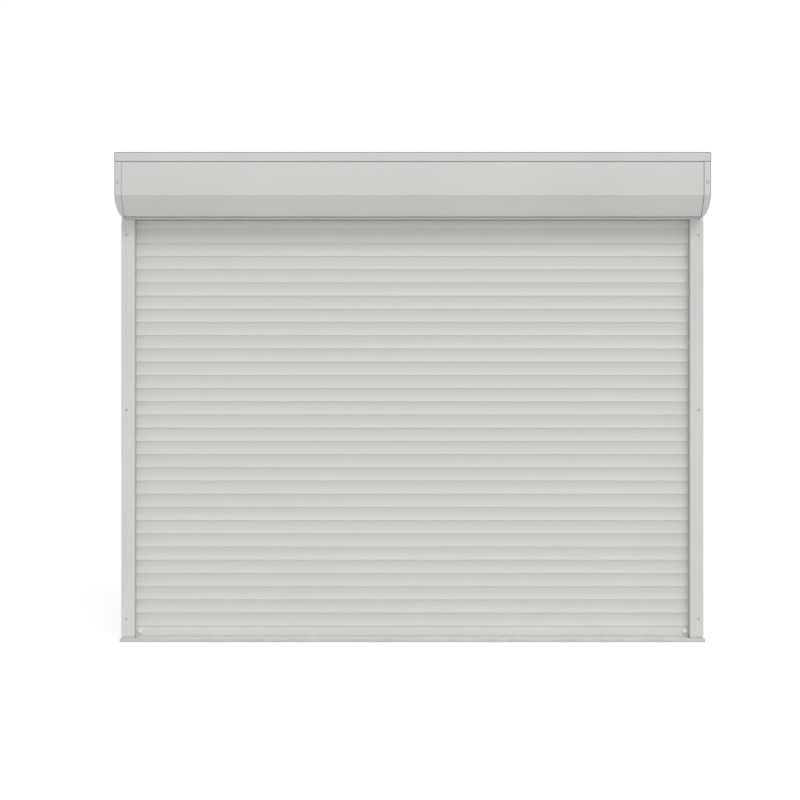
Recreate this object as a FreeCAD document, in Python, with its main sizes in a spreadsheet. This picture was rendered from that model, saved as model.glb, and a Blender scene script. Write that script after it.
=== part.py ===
import FreeCAD, Part
import math
import os
import re

import Sketcher
from FreeCAD import Placement, Rotation, Vector

# A motor-driven roll-up door: sill, two guide rails, a curtain of hollow slats on a bottom bar,
# and above them a casing with the barrel that winds the curtain up.
# Millimetres. X runs across the opening, Y from the room to the wall, Z up. The origin is on the
# floor under the sill, in the middle of the opening and of the curtain's thickness.

SIZES = (
    ("opening_width", 3220, "clear width between the guide rails"),
    ("wall_plane", 18, "from the middle of the curtain to the wall"),
    ("fit_gap", 0.2, "gap between fitted sheets and bushes"),
    ("turn_gap", 0.4, "radial gap where one piece turns in another"),
    ("sill_height", 20, "sill, floor to walking surface"),
    ("sill_lead", 10, "sill, in front of the rails"),
    ("sill_margin", 7.5, "sill, past each rail"),
    ("sill_wall", 2.5, "sill, wall of the extrusion"),
    ("sill_chamfer", 2, "sill, front top edge"),
    ("foot_height", 12, "rail foot, between sill and rail"),
    ("foot_inset", 2, "rail foot, back from the rail's faces"),
    ("rail_width", 77.5, "guide rail, across its face"),
    ("rail_depth", 100, "guide rail, face to wall"),
    ("rail_wall", 2.5, "guide rail, wall of the extrusion"),
    ("rail_corner", 3, "guide rail, rounding of the front edges"),
    ("slot_depth", 38, "guide rail, depth of the curtain's slot"),
    ("groove_inner", 27, "guide rail, first face groove from the inner edge"),
    ("groove_outer", 55, "guide rail, second face groove from the inner edge"),
    ("groove_width", 2.4, "guide rail, width of a face groove"),
    ("groove_depth", 0.8, "guide rail, depth of a face groove"),
    ("seal_height", 4, "slot seal, thickness"),
    ("seal_width", 14, "slot seal, width"),
    ("seal_set_back", 1.5, "slot seal, back from the rail's edge"),
    ("fixing_inset", 29, "fixing holes, in from the rail's outer edge"),
    ("fixing_low", 134, "fixing holes, lowest, above the floor"),
    ("fixing_middle", 1345, "fixing holes, middle, above the floor"),
    ("fixing_drop", 91, "fixing holes, highest, under the casing"),
    ("fixing_radius", 4.5, "fixing holes in the back wall"),
    ("access_radius", 8, "holes for the driver in the front walls"),
    ("cover_cap_rim", 2, "cover cap, rim past its hole"),
    ("cover_cap_face", 1.2, "cover cap, thickness of its face"),
    ("cover_cap_plug", 6, "cover cap, length of its plug"),
    ("curtain_in_casing", 176, "closed curtain, from the casing's underside up to its top"),
    ("box_height", 360, "casing height"),
    ("box_depth", 360, "casing depth"),
    ("cover_gauge", 2, "casing sheet thickness"),
    ("top_lip", 52, "casing, lip of the top cover down the front"),
    ("lip_lap", 30, "casing, front panel behind the lip"),
    ("slope_rise", 115, "casing, rise of the sloped front"),
    ("return_width", 18, "casing, inner return of the front panel"),
    ("inlet_gap", 24, "casing, bottom panel to the middle of the curtain"),
    ("inlet_lip", 15, "casing, turned-up edge at the curtain"),
    ("cap_overhang", 5, "end cap, past the rail"),
    ("cap_flange", 38, "end cap, width of its rim"),
    ("cap_wall", 3, "end cap, side wall"),
    ("cap_rounding", 20, "end cap, rounding of the lower outer edge"),
    ("notch_margin", 5, "front panel, notch above the end cap's rounding"),
    ("panel_end_gap", 1, "casing panels, end gap to the end cap"),
    ("tongue_height", 20, "end cap, block over the rail"),
    ("tongue_slot", 13, "end cap, half of the curtain's slot"),
    ("spigot_length", 50, "end cap, spigot down into the rail"),
    ("spigot_gap", 0.5, "end cap, spigot to the rail's walls"),
    ("screw_radius", 2, "casing screw, shank"),
    ("screw_length", 10, "casing screw, shank"),
    ("screw_head", 6, "casing screw, head radius"),
    ("screw_head_rise", 1.8, "casing screw, head height"),
    ("screw_play", 0.3, "casing screw, hole to shank"),
    ("cap_screw_height", 190, "casing screw in the front rim, over the casing's underside"),
    ("top_screw_front", 60, "casing screw on top, from the front"),
    ("top_screw_back", 72, "casing screw on top, from the wall"),
    ("floor_screw_edge", 9, "casing screw underneath, from the end cap's rim edge"),
    ("floor_screw_lead", 24, "casing screw underneath, in front of the rail"),
    ("panel_screw_step", 800, "casing screws of the bottom panel, step"),
    ("bracket_size", 150, "barrel bracket, side"),
    ("bracket_gauge", 6, "barrel bracket, plate"),
    ("bracket_corner", 12, "barrel bracket, rounded corners"),
    ("bolt_place", 58, "bracket bolt, from the barrel's axis both ways"),
    ("bolt_radius", 4, "bracket bolt, shank"),
    ("bolt_head", 6.5, "bracket bolt, head radius"),
    ("bolt_head_rise", 5, "bracket bolt, head height"),
    ("barrel_radius", 51, "barrel, outer radius"),
    ("barrel_wall", 2, "barrel, wall"),
    ("head_length", 35, "motor head, length"),
    ("head_radius", 40, "motor head, radius"),
    ("head_gap", 3, "motor head to barrel"),
    ("motor_radius", 29, "motor tube, radius"),
    ("motor_length", 620, "motor tube, length"),
    ("square_pin", 16, "motor, square pin in its bracket"),
    ("crown_width", 14, "crown ring and drive wheel, width"),
    ("stub_radius", 7.5, "drive wheel, stub shaft radius"),
    ("stub_length", 14, "drive wheel, stub shaft length"),
    ("stub_end_gap", 1, "drive wheel, end gaps to the motor"),
    ("plug_width", 18, "idler plug in the barrel, width"),
    ("shaft_radius", 10, "idler shaft, radius"),
    ("shaft_end_gap", 1, "idler shaft, end gap to the bracket's plate"),
    ("bearing_radius", 26, "bearing, outer radius"),
    ("bearing_width", 15, "bearing, width"),
    ("race_wall", 4.2, "bearing, wall of each race"),
    ("ball_radius", 3.3, "bearing, ball radius"),
    ("ball_count", 8, "bearing, balls"),
    ("housing_wall", 6, "bearing housing, wall"),
    ("housing_lip", 2, "bearing housing, past the bearing"),
    ("grommet_inset", 50, "cable grommet, in from the rail"),
    ("grommet_drop", 60, "cable grommet, under the casing's top"),
    ("grommet_bore", 5, "cable grommet, bore radius"),
    ("grommet_wall", 3, "cable grommet, neck wall"),
    ("grommet_rim", 3, "cable grommet, rim past its neck"),
    ("grommet_rim_gauge", 2, "cable grommet, rim thickness"),
    ("back_fixing_step", 800, "casing fixing holes, step"),
    ("back_fixing_drop", 40, "casing fixing holes, under the casing's top"),
    ("slat_pitch", 77, "slat, crease to crease"),
    ("slat_count", 33, "slats in the curtain"),
    ("slat_thickness", 18, "slat, overall thickness"),
    ("slat_gauge", 1.2, "slat, wall of the extrusion"),
    ("slat_gap", 0.3, "slat, gap to the slat above"),
    ("lip_reach", 2.4, "slat, lower lip in front of its top edge"),
    ("face_hollow", 3.4, "slat, hollow of the front face"),
    ("back_crown", 3.6, "slat, crown of the back face"),
    ("chamber_low", 13, "slat, bottom of its hollow"),
    ("chamber_high", 71, "slat, top of its hollow"),
    ("bead_radius", 3, "slat, bead that the next slat hangs on"),
    ("bead_lift", 6, "slat, bead over the crease"),
    ("bead_gap", 0.4, "slat, bead to its channel"),
    ("neck_half", 1, "slat, half of the neck under the bead"),
    ("mouth_half", 1.9, "slat, half of the channel's mouth"),
    ("slat_end_gap", 8, "slat, end to the slot's bottom"),
    ("lock_width", 3, "end lock, past the slat"),
    ("lock_tongue", 20, "end lock, length in the slat"),
    ("bar_bottom", 28, "bottom bar, underside above the floor"),
    ("bar_height", 57, "bottom bar, height"),
    ("bar_wall", 2, "bottom bar, wall"),
    ("bar_edge", 1.5, "bottom bar, chamfer of its front edges"),
    ("seal_root_half", 3, "bottom seal, half of its root's slot"),
    ("seal_root_depth", 5, "bottom seal, depth of its root's slot"),
    ("seal_half", 7, "bottom seal, half of its thickness"),
    ("seal_taper", 2, "bottom seal, taper of its sides"),
    ("floor_gap", 0.3, "bottom seal, gap to the sill"),
    ("stop_inset", 25, "end stop, in from the rail"),
    ("stop_height", 60, "end stop, axis above the floor"),
    ("stop_radius", 17, "end stop, base radius"),
    ("stop_tip", 11, "end stop, tip radius"),
    ("stop_length", 24, "end stop, length"),
    ("stop_bore", 3.5, "end stop, bore of its screw"),
    ("hanger_step", 700, "hangers, step along the barrel"),
    ("hanger_count", 4, "hangers"),
    ("hanger_angle", 60, "hanger pin, angle up from the wall side"),
    ("hanger_half", 12, "hanger, half of its width"),
    ("eye_half", 5.6, "hanger, half of a link's eye"),
    ("cheek_gap", 0.4, "hanger, eye to cheek"),
    ("ring_wall", 5, "hanger ring, wall"),
    ("pin_reach", 64, "hanger pin, from the barrel's axis"),
    ("pin_radius", 2.5, "hanger pin, radius"),
    ("eye_radius", 6, "hanger, radius of eyes and cheeks"),
    ("link_half", 3, "hanger link, half of its thickness"),
    ("claw_wall", 2.5, "hanger claw, wall round the bead"),
)

PLACES = (
    ("half_opening", "opening_width / 2"),
    ("curtain_bottom", "bar_bottom + bar_height"),
    ("curtain_top", "curtain_bottom + slat_count * slat_pitch"),
    ("box_floor", "curtain_top - curtain_in_casing"),
    ("fixing_high", "box_floor - fixing_drop"),
    ("rail_outer", "half_opening + rail_width"),
    ("rail_front", "wall_plane - rail_depth"),
    ("slot_half", "wall_plane - rail_wall"),
    ("slot_end", "half_opening + slot_depth"),
    ("rail_bottom", "sill_height + foot_height"),
    ("rail_top", "box_floor - tongue_height"),
    ("rail_length", "rail_top - rail_bottom"),
    ("sill_front", "rail_front - sill_lead"),
    ("sill_half", "rail_outer + sill_margin"),
    ("sill_middle", "(sill_front + wall_plane) / 2"),
    ("fixing_x", "rail_outer - fixing_inset"),
    ("stop_x", "half_opening - stop_inset"),
    ("grommet_x", "half_opening - grommet_inset"),
    ("box_top", "box_floor + box_height"),
    ("box_front", "wall_plane - box_depth"),
    ("panel_inset", "cover_gauge + fit_gap"),
    ("cap_front", "box_front + panel_inset"),
    ("cap_top", "box_top - panel_inset"),
    ("cap_outer", "rail_outer + cap_overhang"),
    ("cap_inner", "cap_outer - cap_wall"),
    ("cap_edge", "cap_outer - cap_flange"),
    ("cap_screw_x", "(cap_outer + cap_edge) / 2"),
    ("knee", "box_floor + slope_rise"),
    ("toe", "cap_front + slope_rise"),
    ("bend_share", "sqrt(2) - 1"),
    ("panel_level", "box_floor + panel_inset"),
    ("return_level", "panel_level + panel_inset"),
    ("panel_outer", "panel_inset"),
    ("panel_inner", "panel_inset + cover_gauge"),
    ("return_start", "cap_front + knee + panel_outer * sqrt(2) - return_level"),
    ("return_end", "return_start + return_width"),
    ("panel_half", "cap_inner - panel_end_gap"),
    ("floor_panel_half", "cap_outer - cap_rounding - panel_end_gap"),
    ("corner_height", "cap_rounding + notch_margin"),
    ("barrel_y", "wall_plane - box_depth / 2"),
    ("barrel_z", "box_floor + box_height / 2"),
    ("bracket_face", "cap_inner - bracket_gauge"),
    ("barrel_end", "bracket_face - head_length - head_gap"),
    ("barrel_bore", "barrel_radius - barrel_wall"),
    ("plug_radius", "barrel_bore - fit_gap"),
    ("motor_start", "bracket_face - head_length - motor_length"),
    ("slat_end", "slot_end - slat_end_gap"),
    ("lip_y", "-slat_thickness / 2"),
    ("top_y", "lip_y + lip_reach"),
    ("shoulder", "slat_pitch - slat_gap"),
    ("face_chord", "sqrt(shoulder ^ 2 + lip_reach ^ 2)"),
    ("face_radius", "face_chord ^ 2 / (8 * face_hollow) + face_hollow / 2"),
    ("face_y", "lip_y + lip_reach / 2 - (face_radius - face_hollow) * shoulder / face_chord"),
    ("face_z", "shoulder / 2 + (face_radius - face_hollow) * lip_reach / face_chord"),
    ("back_y", "slat_thickness / 2 - back_crown"),
    ("back_radius", "shoulder ^ 2 / (8 * back_crown) + back_crown / 2"),
    ("back_centre", "back_y + back_crown - back_radius"),
    ("channel_radius", "bead_radius + bead_gap"),
    ("mouth_top", "bead_lift - sqrt(channel_radius ^ 2 - mouth_half ^ 2)"),
    ("neck_rise", "bead_lift - sqrt(bead_radius ^ 2 - neck_half ^ 2)"),
    ("top_bead_z", "curtain_top + bead_lift"),
    ("ring_bore", "barrel_radius + turn_gap"),
    ("ring_radius", "ring_bore + ring_wall"),
    ("pin_y", "barrel_y + pin_reach * cos(hanger_angle)"),
    ("pin_z", "barrel_z + pin_reach * sin(hanger_angle)"),
    ("link_span", "sqrt(pin_y ^ 2 + (pin_z - top_bead_z) ^ 2)"),
    ("link_length", "link_span / 2"),
    ("link_tilt", "atan((pin_z - top_bead_z) / pin_y)"),
    ("joint_y", "pin_y / 2"),
    ("joint_z", "(pin_z + top_bead_z) / 2"),
    ("cheek_start", "eye_half + cheek_gap"),
    ("cheek_width", "hanger_half - cheek_start"),
)

doc = FreeCAD.newDocument("RollUpDoor")
HOME = {alias: "Sizes." + alias for alias, _, _ in SIZES}
HOME.update({alias: "Places." + alias for alias, _ in PLACES})
pieces = []


def bind(formula):
    """The formula with each size and place named in full, as an expression of the document."""
    return re.sub(r"[a-z_]+", lambda word: HOME.get(word[0], word[0]), str(formula))


sizes = doc.addObject("Spreadsheet::Sheet", "Sizes")
for row, (alias, value, meaning) in enumerate(SIZES, 1):
    sizes.set(f"A{row}", meaning)
    sizes.set(f"B{row}", str(value))
    sizes.setAlias(f"B{row}", alias)
doc.recompute()

places = doc.addObject("Spreadsheet::Sheet", "Places")
for row, (alias, formula) in enumerate(PLACES, 1):
    places.set(f"A{row}", alias.replace("_", " "))
    places.setAlias(f"B{row}", alias)
    places.set(f"B{row}", "=" + bind(formula))
doc.recompute()


def number(formula):
    return float(places.evalExpression(bind(formula)))


def put(thing, x="0", y="0", z="0", turn=None):
    """Place a thing by formulas, turned first by (axis, degrees) if given."""
    if turn:
        thing.Placement = Placement(Vector(), Rotation(Vector(*turn[0]), turn[1]))
    for letter, formula in zip("xyz", (x, y, z)):
        if formula != "0":
            thing.setExpression("Placement.Base." + letter, bind(formula))
    return thing


ALONG_X = ((0, 1, 0), 90)
TO_FRONT = ((1, 0, 0), 90)
TO_WALL = ((1, 0, 0), -90)
DOWN = ((1, 0, 0), 180)


def cylinder(name, radius, length, x="0", y="0", z="0", turn=None):
    thing = doc.addObject("Part::Cylinder", name)
    thing.setExpression("Radius", bind(radius))
    thing.setExpression("Height", bind(length))
    return put(thing, x, y, z, turn)


def box(name, length, width, height, x="0", y="0", z="0"):
    thing = doc.addObject("Part::Box", name)
    thing.setExpression("Length", bind(length))
    thing.setExpression("Width", bind(width))
    thing.setExpression("Height", bind(height))
    return put(thing, x, y, z)


def cut(name, base, tool):
    thing = doc.addObject("Part::Cut", name)
    thing.Base = base
    thing.Tool = tool
    return thing


def fuse(name, parts):
    thing = doc.addObject("Part::MultiFuse", name)
    thing.Shapes = parts
    thing.Refine = True
    return thing


def group(name, parts, x="0", y="0", z="0", turn=None):
    thing = doc.addObject("Part::Compound", name)
    thing.Links = parts
    return put(thing, x, y, z, turn)


def mirror(name, source):
    """The other hand of a piece, mirrored in the middle plane of the opening."""
    thing = doc.addObject("Part::Mirroring", name)
    thing.Source = source
    thing.Normal = Vector(1, 0, 0)
    return thing


def tube(name, radius, bore, length, x="0", y="0", z="0", turn=ALONG_X):
    outside = cylinder(name + "_outside", radius, length, x, y, z, turn)
    inside = cylinder(name + "_bore", bore, length, x, y, z, turn)
    return cut(name, outside, inside)


def piece(label, thing):
    """Mark a finished sub-part; its label names its file."""
    thing.Label = label
    pieces.append(thing)
    return thing


def arc(start, end, radius):
    """Arc under a half circle; a negative radius turns clockwise from start to end."""
    chord = end - start
    rise = math.sqrt(max(radius**2 - (chord.Length / 2) ** 2, 0)) * math.copysign(1, radius)
    side = Vector(-chord.y, chord.x, 0).normalize()
    centre = (start + end) / 2 + side * rise
    first, last = (start, end) if radius > 0 else (end, start)
    angles = [math.atan2(p.y - centre.y, p.x - centre.x) for p in (first, last)]
    return Part.ArcOfCircle(Part.Circle(centre, Vector(0, 0, 1), abs(radius)), *angles)


def draw(sketch, loop):
    """Closed loop of corners (across, up), with a third formula where an arc starts."""
    first = sketch.GeometryCount
    points = [Vector(number(corner[0]), number(corner[1]), 0) for corner in loop]
    ends = []
    for index, corner in enumerate(loop):
        start, end = points[index], points[(index + 1) % len(loop)]
        radius = number(corner[2]) if len(corner) > 2 else 0
        edge = arc(start, end, radius) if radius else Part.LineSegment(start, end)
        sketch.addGeometry(edge, False)
        ends.append((2, 1) if radius < 0 else (1, 2))
    for index, corner in enumerate(loop):
        edge, after = first + index, first + (index + 1) % len(loop)
        joined = ends[(index + 1) % len(loop)][0]
        sketch.addConstraint(Sketcher.Constraint("Coincident", edge, ends[index][1], after, joined))
        for kind, formula in zip(("DistanceX", "DistanceY"), corner):
            limit = Sketcher.Constraint(kind, edge, ends[index][0], number(formula))
            place = sketch.addConstraint(limit)
            sketch.setExpression(f"Constraints[{place}]", bind(formula))
        if len(corner) > 2:
            limit = Sketcher.Constraint("Radius", edge, abs(number(corner[2])))
            place = sketch.addConstraint(limit)
            sketch.setExpression(f"Constraints[{place}]", bind(f"abs({corner[2]})"))


def sketch_on(body, name, role):
    """A sketch on one of the body's own origin planes."""
    plane = next(face for face in body.Origin.OriginFeatures if face.Role == role)
    sketch = body.newObject("Sketcher::SketchObject", name)
    sketch.AttachmentSupport = [(plane, "")]
    sketch.MapMode = "FlatFace"
    return sketch


def extrusion(name, role, loops, length, x="0", y="0", z="0"):
    """A body drawn as closed loops on one plane and padded from it."""
    body = doc.addObject("PartDesign::Body", name)
    sketch = sketch_on(body, name + "_section", role)
    for loop in loops:
        draw(sketch, loop)
    pad = body.newObject("PartDesign::Pad", name + "_pad")
    pad.Profile = sketch
    pad.setExpression("Length", bind(length))
    put(body, x, y, z)
    doc.recompute()
    return body


def along_x(name, loops, half):
    """A section across the opening, from -half to half."""
    return extrusion(name, "YZ_Plane", loops, f"2 * ({half})", x=f"-({half})")


def round_edges(body, name, radius, chosen):
    """Round the body's edges that the test picks."""
    rounded = body.newObject("PartDesign::Fillet", name)
    edges = enumerate(body.Shape.Edges, 1)
    names = [f"Edge{n}" for n, edge in edges if chosen(edge.BoundBox)]
    rounded.Base = (rounded.BaseFeature, names)
    rounded.setExpression("Radius", bind(radius))
    doc.recompute()


def rectangle(low_across, low_up, high_across, high_up):
    return [
        (low_across, low_up),
        (high_across, low_up),
        (high_across, high_up),
        (low_across, high_up),
    ]


def near(value, formula):
    return abs(value - number(formula)) < 0.01


def steps(count, step):
    """Places of a row of things set evenly about the middle."""
    return [f"{index - (count - 1) / 2} * ({step})" for index in range(count)]


# Sill: extruded aluminium threshold with two chambers, laid on the floor.
def make_sill():
    outside = [
        ("sill_front", "0"),
        ("wall_plane", "0"),
        ("wall_plane", "sill_height"),
        ("sill_front + sill_chamfer", "sill_height"),
        ("sill_front", "sill_height - sill_chamfer"),
    ]
    low, high = "sill_wall", "sill_height - sill_wall"
    front = rectangle("sill_front + sill_wall", low, "sill_middle - sill_wall / 2", high)
    back = rectangle("sill_middle + sill_wall / 2", low, "wall_plane - sill_wall", high)
    piece("sill", along_x("sill", [outside, front, back], "sill_half"))


def slotted(inner, outer, front, back, half, end):
    """Outline in plan round the curtain's slot, which opens towards the curtain."""
    return [
        (inner, front),
        (outer, front),
        (outer, back),
        (inner, back),
        (inner, half),
        (end, half),
        (end, f"-({half})"),
        (inner, f"-({half})"),
    ]


# Rail feet: moulded blocks that stand on the sill and carry the rails, open at the slot.
def make_rail_feet():
    plan = slotted(
        "half_opening",
        "rail_outer - foot_inset",
        "rail_front + foot_inset",
        "wall_plane - foot_inset",
        "tongue_slot",
        "slot_end",
    )
    right = extrusion("right_foot", "XY_Plane", [plan], "foot_height", z="sill_height")
    piece("rail_feet", group("rail_feet", [mirror("left_foot", right), right]))


# Guide rails: aluminium extrusions with a closed front chamber, the curtain's slot and an outer
# chamber for the wall fixings, which are driven through holes in the front.
def make_guide_rails():
    plan = slotted(
        "half_opening", "rail_outer", "rail_front", "wall_plane", "slot_half", "slot_end"
    )
    grooves = []
    for place in ("groove_inner", "groove_outer"):
        middle = f"half_opening + {place}"
        grooves += [
            (f"{middle} - groove_width / 2", "rail_front"),
            (middle, "rail_front + groove_depth"),
            (f"{middle} + groove_width / 2", "rail_front"),
        ]
    outside = plan[:1] + grooves + plan[1:]
    front = rectangle(
        "half_opening + rail_wall",
        "rail_front + rail_wall",
        "rail_outer - rail_wall",
        "-slot_half - rail_wall",
    )
    outer = rectangle(
        "slot_end + rail_wall", "-slot_half", "rail_outer - rail_wall", "wall_plane - rail_wall"
    )
    rail = extrusion("rail", "XY_Plane", [outside, front, outer], "rail_length", z="rail_bottom")

    def is_front_edge(bounds):
        tall = bounds.ZLength > 1
        at_side = near(bounds.XMin, "half_opening") or near(bounds.XMin, "rail_outer")
        return tall and at_side and near(bounds.YMin, "rail_front")

    round_edges(rail, "rail_rounding", "rail_corner", is_front_edge)
    holes = []
    for level in ("fixing_low", "fixing_middle", "fixing_high"):
        holes.append(
            cylinder("access_hole", "access_radius", "rail_depth", "fixing_x", "0", level, TO_FRONT)
        )
        holes.append(
            cylinder("fixing_hole", "fixing_radius", "rail_depth", "fixing_x", "0", level, TO_WALL)
        )
    right = cut("right_rail_drilled", rail, group("rail_holes", holes))
    piece("right_guide_rail", right)
    piece("left_guide_rail", mirror("left_rail_drilled", right))


# Slot seals: soft strips in the slot's mouth, two to a rail, that the curtain slides between.
def make_slot_seals():
    inner = "half_opening + seal_set_back"
    outer = f"{inner} + seal_width"
    strips = []
    for side in ("", "-"):
        wall = f"{side}slot_half"
        face = f"{side}(slot_half - seal_height)"
        profile = [
            (inner, wall),
            (outer, wall),
            (outer, f"{side}(slot_half - seal_height / 3)"),
            (f"{outer} - seal_width / 3", face),
            (f"{inner} + seal_width / 3", face),
            (inner, f"{side}(slot_half - seal_height / 3)"),
        ]
        name = "slot_seal_front" if side else "slot_seal_back"
        strips.append(extrusion(name, "XY_Plane", [profile], "rail_length", z="rail_bottom"))
    right = group("slot_seals_right", strips)
    piece("rail_slot_seals", group("slot_seals", [mirror("slot_seals_left", right), right]))


# Cover caps: plastic plugs pressed into the access holes once the rails are fixed.
def make_cover_caps():
    caps = []
    for level in ("fixing_low", "fixing_middle", "fixing_high"):
        face = cylinder(
            "cap_face",
            "access_radius + cover_cap_rim",
            "cover_cap_face",
            "fixing_x",
            "rail_front",
            level,
            TO_FRONT,
        )
        plug = cylinder(
            "cap_plug",
            "access_radius - fit_gap",
            "cover_cap_plug",
            "fixing_x",
            "rail_front",
            level,
            TO_WALL,
        )
        caps.append(fuse("cover_cap", [face, plug]))
    right = group("cover_caps_right", caps)
    piece("rail_cover_caps", group("cover_caps", [mirror("cover_caps_left", right), right]))


def casing_outline(inset):
    """The casing's five-sided outline, seen from the end, moved inwards by an inset."""
    bend = f"({inset}) * bend_share"
    return [
        (f"wall_plane - ({inset})", f"box_floor + {inset}"),
        (f"wall_plane - ({inset})", f"cap_top - ({inset})"),
        (f"cap_front + {inset}", f"cap_top - ({inset})"),
        (f"cap_front + {inset}", f"knee + {bend}"),
        (f"toe + {bend}", f"box_floor + {inset}"),
    ]


def screw_row(name, xs, y, z, turn, radius, length):
    return [cylinder(name, radius, length, x, y, z, turn) for x in xs]


CAP_SIDES = ("-cap_screw_x", "cap_screw_x")
FRONT_SCREW_Z = "box_floor + cap_screw_height"
TOP_SCREW_YS = ("box_front + top_screw_front", "wall_plane - top_screw_back")
FLOOR_SCREW_X = "cap_edge + floor_screw_edge"
FLOOR_SCREW_YS = ("return_start + return_width / 2", "rail_front - floor_screw_lead")
PANEL_SCREW_XS = steps(4, "panel_screw_step")
SCREW_HOLE = "screw_radius + screw_play"


def casing_screw_holes(name):
    """Holes for the casing's screws, through every sheet that they clamp."""
    deep = "2 * screw_length"
    holes = screw_row(
        name, CAP_SIDES, "box_front + screw_length", FRONT_SCREW_Z, TO_FRONT, SCREW_HOLE, deep
    )
    for y in TOP_SCREW_YS:
        holes += screw_row(name, CAP_SIDES, y, "box_top - screw_length", None, SCREW_HOLE, deep)
    corners = (FLOOR_SCREW_X, f"-({FLOOR_SCREW_X})")
    low = "box_floor - screw_length"
    for y in FLOOR_SCREW_YS:
        holes += screw_row(name, corners, y, low, None, SCREW_HOLE, deep)
    holes += screw_row(name, PANEL_SCREW_XS, FLOOR_SCREW_YS[0], low, None, SCREW_HOLE, deep)
    return group(name + "s", holes)


# Casing screws: pan heads outside, shanks through the sheets and the end caps' rims, and the
# hexagon bolts' round heads that hold the barrel's brackets to the end caps.
def make_casing_screws():
    shank = cylinder("screw_shank", "screw_radius", "screw_length", z="-screw_length")
    head = cylinder("screw_top", "screw_head", "screw_head_rise")
    screw = fuse("screw", [shank, head])
    place = ("cap_front", FRONT_SCREW_Z, TO_FRONT)
    screws = [group("front_screw", [screw], x, *place) for x in CAP_SIDES]
    for y in TOP_SCREW_YS:
        screws += [group("top_screw", [screw], x, y, "box_top") for x in CAP_SIDES]
    for y in FLOOR_SCREW_YS:
        for side in ("", "-"):
            x = f"{side}({FLOOR_SCREW_X})"
            screws.append(group("corner_screw", [screw], x, y, "box_floor", DOWN))
    for x in PANEL_SCREW_XS:
        screws.append(group("panel_screw", [screw], x, FLOOR_SCREW_YS[0], "panel_level", DOWN))
    shanks = bolt_row("bolt_shank", "bolt_radius", "bracket_gauge + cap_wall", "bracket_face")
    heads = bolt_row("bolt_top", "bolt_head", "bolt_head_rise", "bracket_face - bolt_head_rise")
    bolts = [fuse("bolt", list(pair)) for pair in zip(shanks, heads)]
    right = group("bolts_right", bolts)
    screws += [mirror("bolts_left", right), right]
    piece("casing_screws", group("screws", screws))


def bolt_row(name, radius, length, x):
    """Four cylinders about the barrel's axis, where the bracket bolts go."""
    row = []
    for side in "+-":
        for level in "+-":
            y = f"barrel_y {side} bolt_place"
            z = f"barrel_z {level} bolt_place"
            row.append(cylinder(name, radius, length, x, y, z, ALONG_X))
    return row


# Casing top cover: one bent sheet, lid and front lip, laid over the end caps.
def make_top_cover():
    profile = [
        ("box_front", "box_top - top_lip"),
        ("box_front + cover_gauge", "box_top - top_lip"),
        ("box_front + cover_gauge", "box_top - cover_gauge"),
        ("wall_plane", "box_top - cover_gauge"),
        ("wall_plane", "box_top"),
        ("box_front", "box_top"),
    ]
    cover = along_x("top_cover", [profile], "cap_outer")
    piece("casing_top_cover", cut("top_cover_drilled", cover, casing_screw_holes("top_hole")))


# Casing front panel: bent sheet behind the lip, upright face, slope and an inner return that
# the bottom panel is screwed to. Its lower corners are notched to clear the rounded end caps.
def make_front_panel():
    top = "box_top - top_lip + lip_lap"
    inner_slope = "cap_front + knee + sqrt(2) * panel_inner"
    profile = [
        ("cap_front + panel_outer", top),
        ("cap_front + panel_outer", "knee + panel_outer * bend_share"),
        ("return_start", "return_level"),
        ("return_end", "return_level"),
        ("return_end", "return_level + cover_gauge"),
        (f"{inner_slope} - return_level - cover_gauge", "return_level + cover_gauge"),
        ("cap_front + panel_inner", "knee + panel_inner * bend_share"),
        ("cap_front + panel_inner", top),
    ]
    panel = along_x("front_panel", [profile], "panel_half")
    notch = box(
        "corner_notch",
        "cap_rounding + cap_wall",
        "box_depth",
        "corner_height",
        "floor_panel_half",
        "box_front",
        "box_floor",
    )
    notches = group("corner_notches", [notch, mirror("corner_notch_left", notch)])
    notched = cut("front_panel_notched", panel, notches)
    drilled = cut("front_panel_drilled", notched, casing_screw_holes("front_hole"))
    piece("casing_front_panel", drilled)


# Casing bottom panel: the removable service panel, turned up along the curtain's inlet.
def make_bottom_panel():
    profile = [
        ("toe + panel_inset * bend_share + fit_gap", "panel_level"),
        ("-inlet_gap", "panel_level"),
        ("-inlet_gap", "panel_level + inlet_lip"),
        ("-inlet_gap - cover_gauge", "panel_level + inlet_lip"),
        ("-inlet_gap - cover_gauge", "panel_level + cover_gauge"),
        ("toe + panel_inset * bend_share + fit_gap", "panel_level + cover_gauge"),
    ]
    panel = along_x("bottom_panel", [profile], "floor_panel_half")
    holes = casing_screw_holes("bottom_hole")
    piece("casing_bottom_panel", cut("bottom_panel_drilled", panel, holes))


# Casing back panel: flat sheet against the wall, with its fixing holes and the cable's hole.
def make_back_panel():
    profile = rectangle(
        "wall_plane - panel_inner",
        "box_floor + corner_height",
        "wall_plane - panel_outer",
        "cap_top - panel_inset",
    )
    panel = along_x("back_panel", [profile], "panel_half")
    level = "box_top - back_fixing_drop"
    holes = [
        cylinder("back_hole", "fixing_radius", "box_depth", x, "0", level, TO_WALL)
        for x in steps(4, "back_fixing_step")
    ]
    holes.append(
        cylinder(
            "cable_hole",
            "grommet_bore + grommet_wall + fit_gap",
            "box_depth",
            "grommet_x",
            "0",
            "box_top - grommet_drop",
            TO_WALL,
        )
    )
    piece("casing_back_panel", cut("back_panel_drilled", panel, group("back_holes", holes)))


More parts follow.
